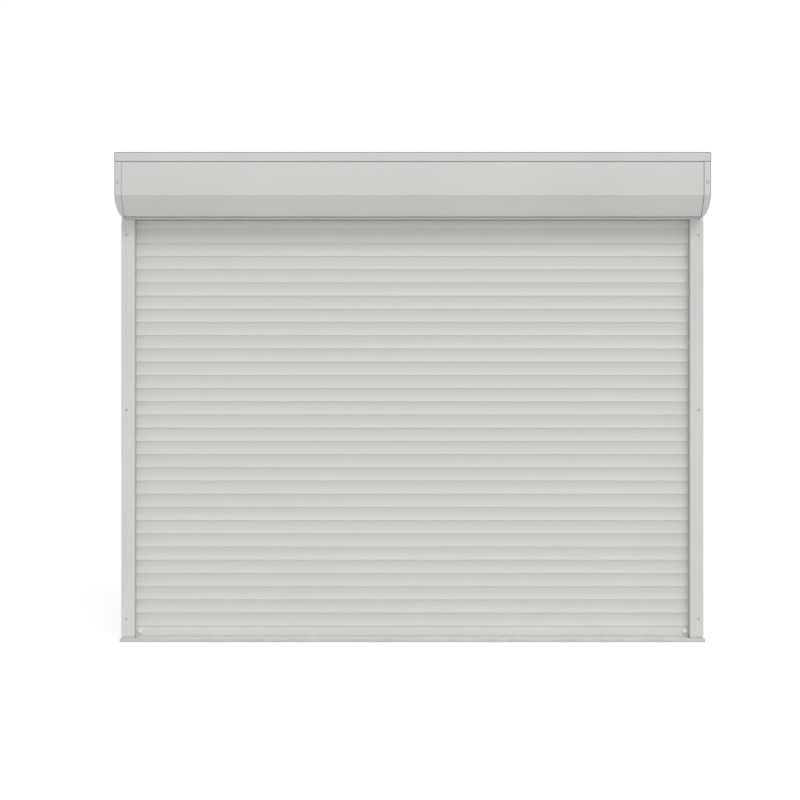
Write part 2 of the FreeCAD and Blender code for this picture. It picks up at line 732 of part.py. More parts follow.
# Cable grommet: rubber bush in the back panel where the motor's lead passes to the wall.
def make_cable_grommet():
    place = ("grommet_x", "wall_plane - panel_inner - grommet_rim_gauge", "box_top - grommet_drop")
    neck = "grommet_bore + grommet_wall"
    length = "panel_inner + grommet_rim_gauge"
    rim = cylinder("grommet_rim", f"{neck} + grommet_rim", "grommet_rim_gauge", *place, TO_WALL)
    barrel = cylinder("grommet_neck", neck, length, *place, TO_WALL)
    bore = cylinder("grommet_hole", "grommet_bore", length, *place, TO_WALL)
    solid = fuse("grommet_solid", [rim, barrel])
    piece("cable_grommet", cut("grommet", solid, bore))


# End caps: cast trays that close the casing's ends. The rim laps over the panels, the lower
# outer edge is rounded, and a block with a spigot stands on the rail and locates in it.
def make_end_caps():
    block = extrusion(
        "cap_block", "YZ_Plane", [casing_outline("0")], "cap_flange", x="cap_edge"
    )

    def is_low_edge(plane_x):
        def chosen(bounds):
            flat = bounds.XLength < 0.01 and bounds.ZLength < 0.01
            low = bounds.ZMin < number("box_floor + 2 * cover_gauge")
            return flat and low and bounds.YLength > 1 and near(bounds.XMin, plane_x)

        return chosen

    round_edges(block, "cap_block_rounding", "cap_rounding", is_low_edge("cap_outer"))
    hollow = extrusion(
        "cap_hollow",
        "YZ_Plane",
        [casing_outline("cover_gauge")],
        "cap_flange",
        x="cap_edge - cap_wall",
    )
    round_edges(
        hollow, "cap_hollow_rounding", "cap_rounding - cap_wall", is_low_edge("cap_inner")
    )
    tray = cut("cap_tray", block, hollow)
    plan = slotted(
        "half_opening",
        "rail_outer - foot_inset",
        "rail_front + foot_inset",
        "wall_plane - cover_gauge",
        "tongue_slot",
        "slot_end",
    )
    tongue = extrusion(
        "cap_tongue", "XY_Plane", [plan], "tongue_height + cover_gauge", z="rail_top"
    )
    margin = "rail_wall + spigot_gap"
    spigot = box(
        "cap_spigot",
        f"rail_width - 2 * ({margin})",
        f"-slot_half - rail_front - 2 * ({margin})",
        "spigot_length + tongue_height",
        f"half_opening + {margin}",
        f"rail_front + {margin}",
        "rail_top - spigot_length",
    )
    cast = fuse("cap_cast", [tray, tongue, spigot])
    holes = bolt_row("cap_bolt_hole", "bolt_radius", "2 * bracket_gauge", "bracket_face")
    bolted = cut("cap_bolted", cast, group("cap_bolt_holes", holes))
    right = cut("right_cap", bolted, casing_screw_holes("cap_hole"))
    piece("right_end_cap", right)
    piece("left_end_cap", mirror("left_cap", right))


def bracket_plate(name):
    """Square plate with rounded corners, flat on the right end cap, about the barrel's axis."""
    half = "bracket_size / 2"
    plan = rectangle(
        f"barrel_y - {half}", f"barrel_z - {half}", f"barrel_y + {half}", f"barrel_z + {half}"
    )
    plate = extrusion(name, "YZ_Plane", [plan], "bracket_gauge", x="bracket_face")

    def is_corner(bounds):
        return bounds.YLength < 0.01 and bounds.ZLength < 0.01

    round_edges(plate, name + "_rounding", "bracket_corner", is_corner)
    start = "bracket_face - bracket_gauge"
    holes = bolt_row(name + "_hole", "bolt_radius", "3 * bracket_gauge", start)
    return cut(name + "_drilled", plate, group(name + "_holes", holes))


# Motor bracket: steel plate whose square hole holds the motor's pin against turning.
def make_motor_bracket():
    plate = bracket_plate("motor_plate")
    side = "square_pin + 2 * fit_gap"
    window = box(
        "square_hole",
        "2 * bracket_gauge",
        side,
        side,
        "bracket_face - bracket_gauge / 2",
        f"barrel_y - ({side}) / 2",
        f"barrel_z - ({side}) / 2",
    )
    piece("motor_bracket", cut("motor_bracket", plate, window))


# Idler bracket: steel plate with a welded ring that holds the bearing.
def make_idler_bracket():
    plate = bracket_plate("idler_plate")
    seat = "bearing_radius + fit_gap"
    reach = "bearing_width + housing_lip"
    ring = tube(
        "bearing_housing",
        f"{seat} + housing_wall",
        seat,
        reach,
        f"bracket_face - ({reach})",
        "barrel_y",
        "barrel_z",
    )
    right = fuse("idler_bracket_right", [plate, ring])
    piece("idler_bracket", mirror("idler_bracket", right))


# Idler bearing: two races and a ring of balls that carry the idler shaft.
def make_idler_bearing():
    start = "bracket_face - bearing_width - fit_gap"
    axis = ("barrel_y", "barrel_z")
    inner_radius = "shaft_radius + turn_gap"
    outer = tube(
        "outer_race", "bearing_radius", "bearing_radius - race_wall", "bearing_width", start, *axis
    )
    inner = tube(
        "inner_race", f"{inner_radius} + race_wall", inner_radius, "bearing_width", start, *axis
    )
    circle = "((bearing_radius + shaft_radius + turn_gap) / 2)"
    balls = []
    for index in range(int(number("ball_count"))):
        ball = doc.addObject("Part::Sphere", "ball")
        ball.setExpression("Radius", bind("ball_radius"))
        angle = f"({index} * 360 / ball_count)"
        y = f"barrel_y + {circle} * cos({angle})"
        z = f"barrel_z + {circle} * sin({angle})"
        balls.append(put(ball, f"{start} + bearing_width / 2", y, z))
    right = group("bearing_right", [outer, inner, *balls])
    piece("idler_bearing", mirror("idler_bearing", right))


# Tubular motor: geared motor in a tube inside the barrel, its head and square pin outside it.
def make_motor():
    axis = ("barrel_y", "barrel_z")
    body = cylinder("motor_tube", "motor_radius", "motor_length", "motor_start", *axis, ALONG_X)
    head_start = "motor_start + motor_length"
    head = cylinder("motor_head", "head_radius", "head_length", head_start, *axis, ALONG_X)
    pin = box(
        "motor_pin",
        "head_length + bracket_gauge",
        "square_pin",
        "square_pin",
        head_start,
        "barrel_y - square_pin / 2",
        "barrel_z - square_pin / 2",
    )
    socket = cylinder(
        "motor_socket",
        "stub_radius + turn_gap",
        "stub_length + stub_end_gap",
        "motor_start",
        *axis,
        ALONG_X,
    )
    solid = fuse("motor_solid", [body, head, pin])
    piece("tubular_motor", cut("motor", solid, socket))


# Barrel: round steel tube that the curtain winds onto.
def make_barrel():
    barrel = tube(
        "barrel",
        "barrel_radius",
        "barrel_bore",
        "2 * barrel_end",
        "-barrel_end",
        "barrel_y",
        "barrel_z",
    )
    piece("barrel_tube", barrel)


# Drive adapter: crown ring that runs on the motor's tube and the wheel on its output stub,
# both keyed to the barrel.
def make_drive_adapter():
    axis = ("barrel_y", "barrel_z")
    crown_start = "barrel_end - crown_width"
    crown = tube(
        "crown", "plug_radius", "motor_radius + turn_gap", "crown_width", crown_start, *axis
    )
    wheel_start = "motor_start - crown_width - stub_end_gap"
    wheel = cylinder("wheel", "plug_radius", "crown_width", wheel_start, *axis, ALONG_X)
    stub_start = f"{wheel_start} + crown_width"
    stub = cylinder("stub", "stub_radius", "stub_length", stub_start, *axis, ALONG_X)
    piece("drive_adapter", group("drive", [crown, fuse("drive_wheel", [wheel, stub])]))


# Idler shaft: plug pressed into the barrel's far end, with the shaft that the bearing carries.
def make_idler_shaft():
    axis = ("barrel_y", "barrel_z")
    start = "barrel_end - plug_width"
    plug = cylinder("idler_plug", "plug_radius", "plug_width", start, *axis, ALONG_X)
    length = "head_length + head_gap + plug_width - shaft_end_gap"
    shaft = cylinder("idler_pin", "shaft_radius", length, start, *axis, ALONG_X)
    right = fuse("idler_right", [plug, shaft])
    piece("idler_shaft", mirror("idler_shaft", right))


def hanger_row(name, item):
    """Copies of one hanger's item along the barrel."""
    count = int(number("hanger_count"))
    return group(name, [group(name + "_item", [item], x) for x in steps(count, "hanger_step")])


def tilted(name, parts, y, z, angle):
    """Parts drawn about the X axis, joined, turned down by an angle and set on (y, z)."""
    placed = group(name, [fuse(name + "_solid", parts)])
    placed.Placement.Rotation = Rotation(Vector(-1, 0, 0), number(angle))
    placed.setExpression("Placement.Rotation.Angle", bind(angle))
    return put(placed, "0", y, z)


def cheeks(name, y, z, turn=ALONG_X):
    """The two round cheeks of a fork about an axis along X."""
    starts = ("cheek_start", "-hanger_half")
    return [cylinder(name, "eye_radius", "cheek_width", x, y, z, turn) for x in starts]


# Hanger rings: clamps round the barrel, each with a forked lug and the pin of the first link.
def make_hanger_rings():
    width = "2 * hanger_half"
    band = tube("band", "ring_radius", "ring_bore", width, "-hanger_half", "barrel_y", "barrel_z")
    lugs = []
    for start in ("cheek_start", "-hanger_half"):
        lug = box(
            "lug",
            "cheek_width",
            "2 * eye_radius",
            "pin_reach - ring_radius + ring_wall / 2",
            start,
            "-eye_radius",
            "ring_radius - ring_wall / 2",
        )
        lugs.append(lug)
    upright = lugs + cheeks("lug_cheek", "0", "pin_reach")
    lean = tilted("lugs_placed", upright, "barrel_y", "barrel_z", "90 - hanger_angle")
    pin = cylinder("ring_pin", "pin_radius", width, "-hanger_half", "pin_y", "pin_z", ALONG_X)
    ring = fuse("ring", [band, lean, pin])
    piece("hanger_rings", hanger_row("rings", ring))


def link_arm(name, length):
    """The flat arm of a link and the eye at its start."""
    width = "2 * eye_half"
    eye = cylinder(name + "_eye", "eye_radius", width, "-eye_half", "0", "0", ALONG_X)
    arm = box(name + "_arm", width, length, "2 * link_half", "-eye_half", "0", "-link_half")
    return [eye, arm]


def eye_hole(name, y, z):
    return cylinder(
        name, "pin_radius + turn_gap", "2 * hanger_half", "-hanger_half", y, z, ALONG_X
    )


# Upper hanger links: each hangs on a ring's pin and ends in a fork with the second pin.
def make_upper_links():
    reach = "eye_radius + link_half"
    back = "(link_length - eye_radius - link_half)"
    width = "2 * hanger_half"
    thick = "2 * link_half"
    bridge = box(
        "fork_bridge", width, thick, thick, "-hanger_half", f"{back} - {thick}", "-link_half"
    )
    drawn = link_arm("upper", back) + [bridge] + cheeks("fork_cheek", "link_length", "0")
    for start in ("cheek_start", "-hanger_half"):
        drawn.append(box("fork_side", "cheek_width", reach, thick, start, back, "-link_half"))
    placed = tilted("upper_placed", drawn, "pin_y", "pin_z", "-link_tilt")
    pin = cylinder("link_pin", "pin_radius", width, "-hanger_half", "joint_y", "joint_z", ALONG_X)
    solid = fuse("upper_solid", [placed, pin])
    link = cut("upper_link", solid, eye_hole("upper_hole", "pin_y", "pin_z"))
    piece("hanger_upper_links", hanger_row("upper_links", link))


# Lower hanger links: each hangs on the second pin and its claw holds the top slat's bead.
def make_lower_links():
    arm = link_arm("lower", "link_length")
    placed = tilted("lower_placed", arm, "joint_y", "joint_z", "-link_tilt")
    claw = cylinder(
        "claw_round",
        "channel_radius + claw_wall",
        "2 * hanger_half",
        "-hanger_half",
        "0",
        "top_bead_z",
        ALONG_X,
    )
    bore = cylinder(
        "claw_bore", "channel_radius", "2 * hanger_half", "-hanger_half", "0", "top_bead_z", ALONG_X
    )
    mouth = box(
        "claw_mouth",
        "2 * hanger_half",
        "2 * mouth_half",
        "channel_radius + claw_wall",
        "-hanger_half",
        "-mouth_half",
        "top_bead_z - channel_radius - claw_wall",
    )
    tools = fuse("lower_tools", [bore, mouth, eye_hole("lower_hole", "joint_y", "joint_z")])
    link = cut("lower_link", fuse("lower_solid", [placed, claw]), tools)
    piece("hanger_lower_links", hanger_row("lower_links", link))


def bead(height):
    """Neck and bead on top of a slat or bar, from the wall side over to the room side."""
    return [
        ("neck_half", f"{height} - slat_gap"),
        ("neck_half", f"{height} + neck_rise", "bead_radius"),
        ("0", f"{height} + bead_lift + bead_radius", "bead_radius"),
        ("-neck_half", f"{height} + neck_rise"),
        ("-neck_half", f"{height} - slat_gap"),
    ]


def face_at(level):
    """Inner side of the front wall at a level."""
    return f"face_y + sqrt((face_radius + slat_gauge) ^ 2 - ({level} - face_z) ^ 2)"


def back_at(level):
    """Inner side of the back wall at a level."""
    return f"back_centre + sqrt((back_radius - slat_gauge) ^ 2 - ({level} - shoulder / 2) ^ 2)"


def slat_sections():
    """Outside and hollow of a slat, seen from the end, its crease at zero."""
    outside = [
        ("lip_y", "0"),
        ("-mouth_half", "0"),
        ("-mouth_half", "mouth_top", "-channel_radius"),
        ("0", "bead_lift + channel_radius", "-channel_radius"),
        ("mouth_half", "mouth_top"),
        ("mouth_half", "0"),
        ("back_y", "0", "back_radius"),
        ("back_y", "shoulder"),
        *bead("slat_pitch"),
        ("top_y", "shoulder", "-face_radius"),
    ]
    hollow = [
        (face_at("chamber_low"), "chamber_low"),
        (back_at("chamber_low"), "chamber_low", "back_radius - slat_gauge"),
        (back_at("chamber_high"), "chamber_high"),
        (face_at("chamber_high"), "chamber_high", "-face_radius - slat_gauge"),
    ]
    return [outside, hollow]


# Slats: extruded aluminium, hollow, each hung by its channel on the bead of the one below, with
# a moulded lock in each end that keeps the curtain from working sideways in the rails.
def make_slats():
    slat = along_x("slat", slat_sections(), "slat_end")
    level = "(chamber_low + chamber_high) / 2"
    head = box(
        "lock_head",
        "lock_width",
        "slat_thickness - 2 * slat_gauge",
        "chamber_high - chamber_low",
        "slat_end",
        "lip_y + slat_gauge",
        "chamber_low",
    )
    thick = f"({back_at('chamber_low')}) - ({face_at(level)}) - 2 * turn_gap"
    tongue = box(
        "lock_tongue",
        "lock_tongue",
        thick,
        "(chamber_high - chamber_low) / 2",
        "slat_end - lock_tongue",
        f"{face_at(level)} + turn_gap",
        f"{level} - (chamber_high - chamber_low) / 4",
    )
    lock = fuse("end_lock", [head, tongue])
    parts = [slat, lock, mirror("end_lock_left", lock)]
    for index in range(int(number("slat_count"))):
        level = f"curtain_bottom + {index} * slat_pitch"
        piece(f"slat_{index + 1:02d}", group(f"slat_{index + 1:02d}_set", parts, z=level))


# Bottom bar: stiff extrusion under the lowest slat, with a slot for its rubber seal.
def make_bottom_bar():
    back = "-lip_y"
    shoulder_z = "bar_height - slat_gap"
    outside = [
        ("lip_y", "bar_edge"),
        ("lip_y + bar_edge", "0"),
        ("-seal_root_half", "0"),
        ("-seal_root_half", "seal_root_depth"),
        ("seal_root_half", "seal_root_depth"),
        ("seal_root_half", "0"),
        (back, "0"),
        (back, f"{shoulder_z} - bar_edge"),
        (f"{back} - bar_edge", shoulder_z),
        *bead("bar_height"),
        ("lip_y + bar_edge", shoulder_z),
        ("lip_y", f"{shoulder_z} - bar_edge"),
    ]
    hollow = rectangle(
        "lip_y + bar_wall",
        "seal_root_depth + bar_wall",
        f"{back} - bar_wall",
        f"{shoulder_z} - bar_edge - bar_wall",
    )
    bar = extrusion(
        "bar", "YZ_Plane", [outside, hollow], "2 * slat_end", x="-slat_end", z="bar_bottom"
    )
    piece("bottom_bar", bar)


# Bottom seal: rubber strip in the bar's slot that closes on the sill.
def make_bottom_seal():
    low = "sill_height + floor_gap"
    root = "seal_root_half - fit_gap"
    profile = [
        ("-seal_half + seal_taper", low),
        ("seal_half - seal_taper", low),
        ("seal_half", "bar_bottom - seal_taper"),
        ("seal_half", "bar_bottom"),
        (root, "bar_bottom"),
        (root, "bar_bottom + seal_root_depth - fit_gap"),
        (f"-({root})", "bar_bottom + seal_root_depth - fit_gap"),
        (f"-({root})", "bar_bottom"),
        ("-seal_half", "bar_bottom"),
        ("-seal_half", "bar_bottom - seal_taper"),
    ]
    piece("bottom_seal", along_x("bottom_seal", [profile], "slat_end"))


# End stops: tapered rubber buffers on the bottom bar that meet the casing when it is open.
def make_end_stops():
    stop = doc.addObject("Part::Cone", "stop_cone")
    stop.setExpression("Radius1", bind("stop_radius"))
    stop.setExpression("Radius2", bind("stop_tip"))
    stop.setExpression("Height", bind("stop_length"))
    put(stop, "stop_x", "lip_y", "stop_height", TO_FRONT)
    bore = cylinder(
        "stop_hole",
        "stop_bore",
        "stop_length / 2",
        "stop_x",
        "lip_y - stop_length / 2",
        "stop_height",
        TO_FRONT,
    )
    right = cut("stop_right", stop, bore)
    piece("end_stops", group("stops", [mirror("stop_left", right), right]))


make_sill()
make_rail_feet()
make_guide_rails()
make_slot_seals()
make_cover_caps()
make_top_cover()
make_front_panel()
make_bottom_panel()
make_back_panel()
make_cable_grommet()
make_end_caps()
make_casing_screws()
make_motor_bracket()
make_idler_bracket()
make_idler_bearing()
make_motor()
make_barrel()
make_drive_adapter()
make_idler_shaft()
make_hanger_rings()
make_upper_links()
make_lower_links()
make_slats()
make_bottom_bar()
make_bottom_seal()
make_end_stops()
doc.recompute()

for thing in doc.Objects:
    if {"Invalid", "Error"} & set(thing.State):
        raise ValueError(f"{thing.Label} could not be made: {thing.State}")
for thing in pieces:
    if thing.Shape.isNull() or not thing.Shape.isValid() or not thing.Shape.Solids:
        raise ValueError(f"{thing.Label} has no sound shape")

os.makedirs("parts", exist_ok=True)
for thing in pieces:
    thing.Shape.exportStep(f"parts/{thing.Label}.step")
print(len(pieces), "pieces written")
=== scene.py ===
"""Roll-up door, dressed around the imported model. Lengths are in metres: x runs along the door, y
from the room to the wall, z up from the floor. Each piece is built where it stands."""

import math

import bmesh
import bpy
from mathutils import Matrix, Vector


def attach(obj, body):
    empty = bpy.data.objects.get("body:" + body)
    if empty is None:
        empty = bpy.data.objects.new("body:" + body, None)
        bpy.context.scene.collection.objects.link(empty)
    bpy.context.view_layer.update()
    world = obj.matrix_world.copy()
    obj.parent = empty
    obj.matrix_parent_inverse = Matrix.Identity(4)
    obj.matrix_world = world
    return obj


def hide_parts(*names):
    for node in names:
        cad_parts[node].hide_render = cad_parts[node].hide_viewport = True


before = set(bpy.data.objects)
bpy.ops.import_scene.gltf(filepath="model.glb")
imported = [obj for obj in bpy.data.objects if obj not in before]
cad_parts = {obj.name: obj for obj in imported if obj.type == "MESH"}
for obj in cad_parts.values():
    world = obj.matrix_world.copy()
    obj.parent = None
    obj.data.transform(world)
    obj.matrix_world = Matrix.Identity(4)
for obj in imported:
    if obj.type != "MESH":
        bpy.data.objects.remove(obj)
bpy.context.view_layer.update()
scene = bpy.context.scene

# Camera: the door is seen square on from twelve metres, a hand's width left of its middle and
# at half its height.
lens = bpy.data.cameras.new("front_view")
lens.sensor_width = 36.0
lens.lens = 93.16
camera = bpy.data.objects.new("front_view", lens)
camera.location = (-0.072, -12.082, 1.403)
camera.rotation_euler = (math.radians(90), 0, 0)
scene.collection.objects.link(camera)
scene.camera = camera
scene.view_settings.view_transform = "Standard"


# Studio: an even white sky over a pale matt floor. A soft lamp high on the right shades the
# curtain under the casing, and a low one fills in from beside the camera, kept out of
# reflections as a polarised lamp is.
def linear(hex_colour):
    """An sRGB hex colour as the linear values that shaders work in."""
    channels = [int(hex_colour[place : place + 2], 16) / 255 for place in (0, 2, 4)]
    return [c / 12.92 if c <= 0.04045 else ((c + 0.055) / 1.055) ** 2.4 for c in channels] + [1]


def add(tree, kind, inputs, **settings):
    """A node with its settings, and its inputs set to a value or linked to another's output."""
    node = tree.nodes.new(kind)
    for name, value in settings.items():
        setattr(node, name, value)
    for socket, value in inputs.items():
        if isinstance(value, bpy.types.NodeSocket):
            tree.links.new(value, node.inputs[socket])
        else:
            node.inputs[socket].default_value = value
    return node


def seen_rays(tree):
    """One for rays that show the background itself, and nought for those that light things."""
    rays = add(tree, "ShaderNodeLightPath", {}).outputs
    direct = add(
        tree,
        "ShaderNodeMath",
        {0: rays["Is Camera Ray"], 1: rays["Is Glossy Ray"]},
        operation="ADD",
    )
    return add(
        tree,
        "ShaderNodeMath",
        {0: direct.outputs[0], 1: rays["Is Transmission Ray"]},
        operation="ADD",
        use_clamp=True,
    ).outputs[0]


sky_level = 0.53
sky = bpy.data.worlds.new("white_sky")
sky.use_nodes = True
sky.node_tree.nodes.clear()
sky_strength = add(
    sky.node_tree,
    "ShaderNodeMath",
    {0: seen_rays(sky.node_tree), 1: 1 - sky_level, 2: sky_level},
    operation="MULTIPLY_ADD",
)
background = add(
    sky.node_tree,
    "ShaderNodeBackground",
    {"Color": linear("FFFFFF"), "Strength": sky_strength.outputs[0]},
)
add(sky.node_tree, "ShaderNodeOutputWorld", {"Surface": background.outputs[0]})
scene.world = sky

for name, energy, spread_angle, azimuth, height, mirrored_in_gloss in (
    ("soft_lamp", 0.80, 24, 15, 30, True),
    ("low_lamp", 0.66, 0.6, 0, 0.4, False),
):
    lamp = bpy.data.lights.new(name, "SUN")
    lamp.energy = energy
    lamp.angle = math.radians(spread_angle)
    lamp_stand = bpy.data.objects.new(name, lamp)
    lamp_stand.rotation_euler = (math.radians(90 - height), 0, math.radians(azimuth))
    lamp_stand.visible_glossy = mirrored_in_gloss
    scene.collection.objects.link(lamp_stand)

floor_half, floor_level, glow_level = 40.0, -0.0005, 0.45
floor_paint = bpy.data.materials.new("matt_floor_paint")
floor_paint.use_nodes = True
floor_glow = add(
    floor_paint.node_tree,
    "ShaderNodeMath",
    {0: seen_rays(floor_paint.node_tree), 1: glow_level},
    operation="MULTIPLY",
)
floor_shader = floor_paint.node_tree.nodes["Principled BSDF"]
floor_shader.inputs["Base Color"].default_value = linear("F2F2F2")
floor_shader.inputs["Roughness"].default_value = 0.9
floor_shader.inputs["Emission Color"].default_value = linear("FFFFFF")
floor_paint.node_tree.links.new(floor_glow.outputs[0], floor_shader.inputs["Emission Strength"])
floor_mesh = bpy.data.meshes.new("floor")
floor_corners = [
    (x * floor_half, y * floor_half, floor_level) for x, y in ((-1, -1), (1, -1), (1, 1), (-1, 1))
]
floor_mesh.from_pydata(floor_corners, [], [(0, 1, 2, 3)])
floor_mesh.materials.append(floor_paint)
floor = bpy.data.objects.new("floor", floor_mesh)
scene.collection.objects.link(floor)


# Sill: threshold of extruded, satin-anodised aluminium, screwed to the floor, with two chambers
# that are open at its ends, and a fluted tread of white vinyl laid into its top.
def rounded(corners):
    """Outline through corners given as (across, up, radius), with each radius drawn out."""
    outline = []
    for index, (across, up, radius) in enumerate(corners):
        corner = Vector((across, up))
        if not radius:
            outline.append(corner)
            continue
        before = (Vector(corners[index - 1][:2]) - corner).normalized()
        after = (Vector(corners[(index + 1) % len(corners)][:2]) - corner).normalized()
        half = before.angle(after) / 2
        centre = corner + (before + after).normalized() * (radius / math.sin(half))
        start = (corner + before * (radius / math.tan(half)) - centre).normalized()
        end = (corner + after * (radius / math.tan(half)) - centre).normalized()
        steps = max(2, round(start.angle(end) / math.radians(18)))
        outline += [centre + start.slerp(end, step / steps) * radius for step in range(steps + 1)]
    return outline


def boxed(left, right, low, high, radius):
    """The corners of an upright rectangle, all with the same radius."""
    return [(left, low, radius), (right, low, radius), (right, high, radius), (left, high, radius)]


def moved_in(outline, distance):
    """The outline moved inwards by a distance."""
    before, after = outline[-1:] + outline[:-1], outline[1:] + outline[:1]
    turn = sum(point.cross(following) for point, following in zip(outline, after))
    inner = []
    for last, point, following in zip(before, outline, after):
        along = ((point - last).normalized() + (following - point).normalized()).normalized()
        inner.append(point + Vector((-along.y, along.x)) * math.copysign(distance, turn))
    return inner


def shaded(mesh, degrees=32):
    """The mesh with smooth curves and crisp corners."""
    mesh.polygons.foreach_set("use_smooth", [True] * len(mesh.polygons))
    mesh.set_sharp_from_angle(angle=math.radians(degrees))
    return mesh


def extruded(name, outlines, start, end, axis="x", ease=0.0004):
    """Extrusion of an outline with its hollows, the edges of both ends eased."""
    order = {"x": (2, 0, 1), "y": (0, 2, 1), "z": (0, 1, 2)}[axis]
    bm = bmesh.new()
    ends = ([], [])
    for outline in outlines:
        edge = moved_in(outline, ease if outline is outlines[0] else -ease)
        rows = [(edge, start), (outline, start + ease), (outline, end - ease), (edge, end)]
        rings = []
        for points, along in rows:
            spots = [(point.x, point.y, along) for point in points]
            rings.append([bm.verts.new([spot[place] for place in order]) for spot in spots])
        for low, high in zip(rings, rings[1:]):
            for index, corner in enumerate(low):
                bm.faces.new((low[index - 1], corner, high[index], high[index - 1]))
        for edges, ring in zip(ends, (rings[0], rings[-1])):
            edges += [bm.edges.get((ring[index - 1], ring[index])) for index in range(len(ring))]
    for edges in ends:
        bmesh.ops.triangle_fill(bm, use_beauty=True, edges=edges)
    bmesh.ops.recalc_face_normals(bm, faces=bm.faces)
    mesh = bpy.data.meshes.new(name)
    bm.to_mesh(mesh)
    bm.free()
    return shaded(mesh)


def fitted(name, mesh, *materials):
    """The mesh as a named piece of the door, in its materials."""
    for material in materials:
        mesh.materials.append(material)
    piece = bpy.data.objects.new(name, mesh)
    scene.collection.objects.link(piece)
    return piece


def surface(name, hex_colour, roughness, metallic=0.0, ior=1.5):
    """A material with its plain values on its shader, and the place that its patterns read."""
    material = bpy.data.materials.new(name)
    material.use_nodes = True
    shader = material.node_tree.nodes["Principled BSDF"]
    shader.inputs["Base Color"].default_value = linear(hex_colour)
    shader.inputs["Roughness"].default_value = roughness
    shader.inputs["Metallic"].default_value = metallic
    if not metallic:
        shader.inputs["IOR"].default_value = ior
    place = add(material.node_tree, "ShaderNodeTexCoord", {}).outputs["Object"]
    return material, material.node_tree, place


# A noise pattern seldom leaves this range, so tints and gloss are spread over it.
noise_low, noise_high = 0.3, 0.7


def patterned(tree, tints, gloss, relief, lowest=noise_low, highest=noise_high):
    """A surface's tint between two colours, its roughness between two values, and its relief, with
    a strength and a depth in metres. Each comes after the pattern that drives it."""
    shader = tree.nodes["Principled BSDF"].inputs
    pattern, low_hex, high_hex = tints
    share = {"Value": pattern, "From Min": lowest, "From Max": highest}
    colours = {0: add(tree, "ShaderNodeMapRange", share).outputs[0]}
    colours.update({6: linear(low_hex), 7: linear(high_hex)})
    tint = add(tree, "ShaderNodeMix", colours, data_type="RGBA").outputs[2]
    tree.links.new(tint, shader["Base Color"])
    pattern, smoothest, roughest = gloss
    steps = {"Value": pattern, "From Min": noise_low, "From Max": noise_high}
    steps.update({"To Min": smoothest, "To Max": roughest})
    tree.links.new(add(tree, "ShaderNodeMapRange", steps).outputs[0], shader["Roughness"])
    pattern, strength, depth = relief
    bump = {"Height": pattern, "Strength": strength, "Distance": depth}
    tree.links.new(add(tree, "ShaderNodeBump", bump).outputs[0], shader["Normal"])


# Satin-anodised aluminium: etched before it is anodised, so the eye gets a soft, even metal sheen
# with die lines along the bar. Die lines are 0.1 mm apart and are drawn 2.5 mm apart to show.
anodised, tree, place = surface("anodised_aluminium", "BBBBBA", 0.38, metallic=1.0)
stretched = add(tree, "ShaderNodeMapping", {"Vector": place, "Scale": (0.6, 1, 1)}).outputs[0]
drawing = {"Vector": stretched, "Scale": 1 / 0.0025, "Detail": 2, "Roughness": 0.6}
die_lines = add(tree, "ShaderNodeTexNoise", drawing).outputs[0]
etching = {"Vector": place, "Scale": 1 / 0.12, "Detail": 3}
etch = add(tree, "ShaderNodeTexNoise", etching).outputs[0]
tints = (etch, "B5B5B4", "C0C0BF")
patterned(tree, tints, (die_lines, 0.33, 0.44), (die_lines, 0.12, 0.0003))

sill_front, sill_back, sill_height, sill_half = -0.092, 0.018, 0.020, 1.695
tread_front, tread_back, tread_depth = -0.0885, -0.0165, 0.0016
sill_corners = [
    (sill_front, 0, 0.0005),
    (sill_back, 0, 0.0005),
    (sill_back, sill_height, 0.001),
    (tread_back, sill_height, 0.0004),
    (tread_back, sill_height - tread_depth, 0.0003),
    (tread_front, sill_height - tread_depth, 0.0003),
    (tread_front, sill_height, 0.0004),
    (sill_front, sill_height, 0.0018),
]
chamber_low, chamber_high, chamber_corner = 0.0025, 0.0165, 0.001
sill_chambers = []
for front, back in ((-0.0895, -0.03825), (-0.03575, 0.0155)):
    chamber = boxed(front, back, chamber_low, chamber_high, chamber_corner)
    sill_chambers.append(rounded(chamber))
sill = fitted(
    "sill_extrusion",
    extruded("sill_extrusion", [rounded(sill_corners), *sill_chambers], -sill_half, sill_half),
    anodised,
)
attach(sill, "frame")
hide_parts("sill")

# Extruded vinyl: white, satin, scuffed in soft patches as wide as a shoe.
vinyl, tree, place = surface("extruded_white_vinyl", "F8F8F6", 0.36, ior=1.53)
scuffing = {"Vector": place, "Scale": 1 / 0.09, "Detail": 5}
scuff = add(tree, "ShaderNodeTexNoise", scuffing).outputs[0]
patterned(tree, (scuff, "F5F5F3", "FBFBF9"), (scuff, 0.3, 0.42), (scuff, 0.1, 0.0005))

tread_play, tread_short = 0.0002, 0.001
tread_corners = [
    (tread_front + tread_play, sill_height - tread_depth, 0.0003),
    (tread_back - tread_play, sill_height - tread_depth, 0.0003),
    (tread_back - tread_play, sill_height, 0.0004),
]
flute_count, flute_step, flute_width, flute_depth = 8, 0.008, 0.0032, 0.0008
first_flute = tread_back - 0.0085
for flute in range(flute_count):
    middle = first_flute - flute * flute_step
    tread_corners += [
        (middle + flute_width / 2, sill_height, 0.0004),
        (middle + flute_width / 4, sill_height - flute_depth, 0.0003),
        (middle - flute_width / 4, sill_height - flute_depth, 0.0003),
        (middle - flute_width / 2, sill_height, 0.0004),
    ]
tread_corners += [(tread_front + tread_play, sill_height, 0.0004)]
tread_half = sill_half - tread_short
tread_mesh = extruded("sill_tread", [rounded(tread_corners)], -tread_half, tread_half)
tread = fitted("sill_tread", tread_mesh, vinyl)
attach(tread, "frame")
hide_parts("sill")


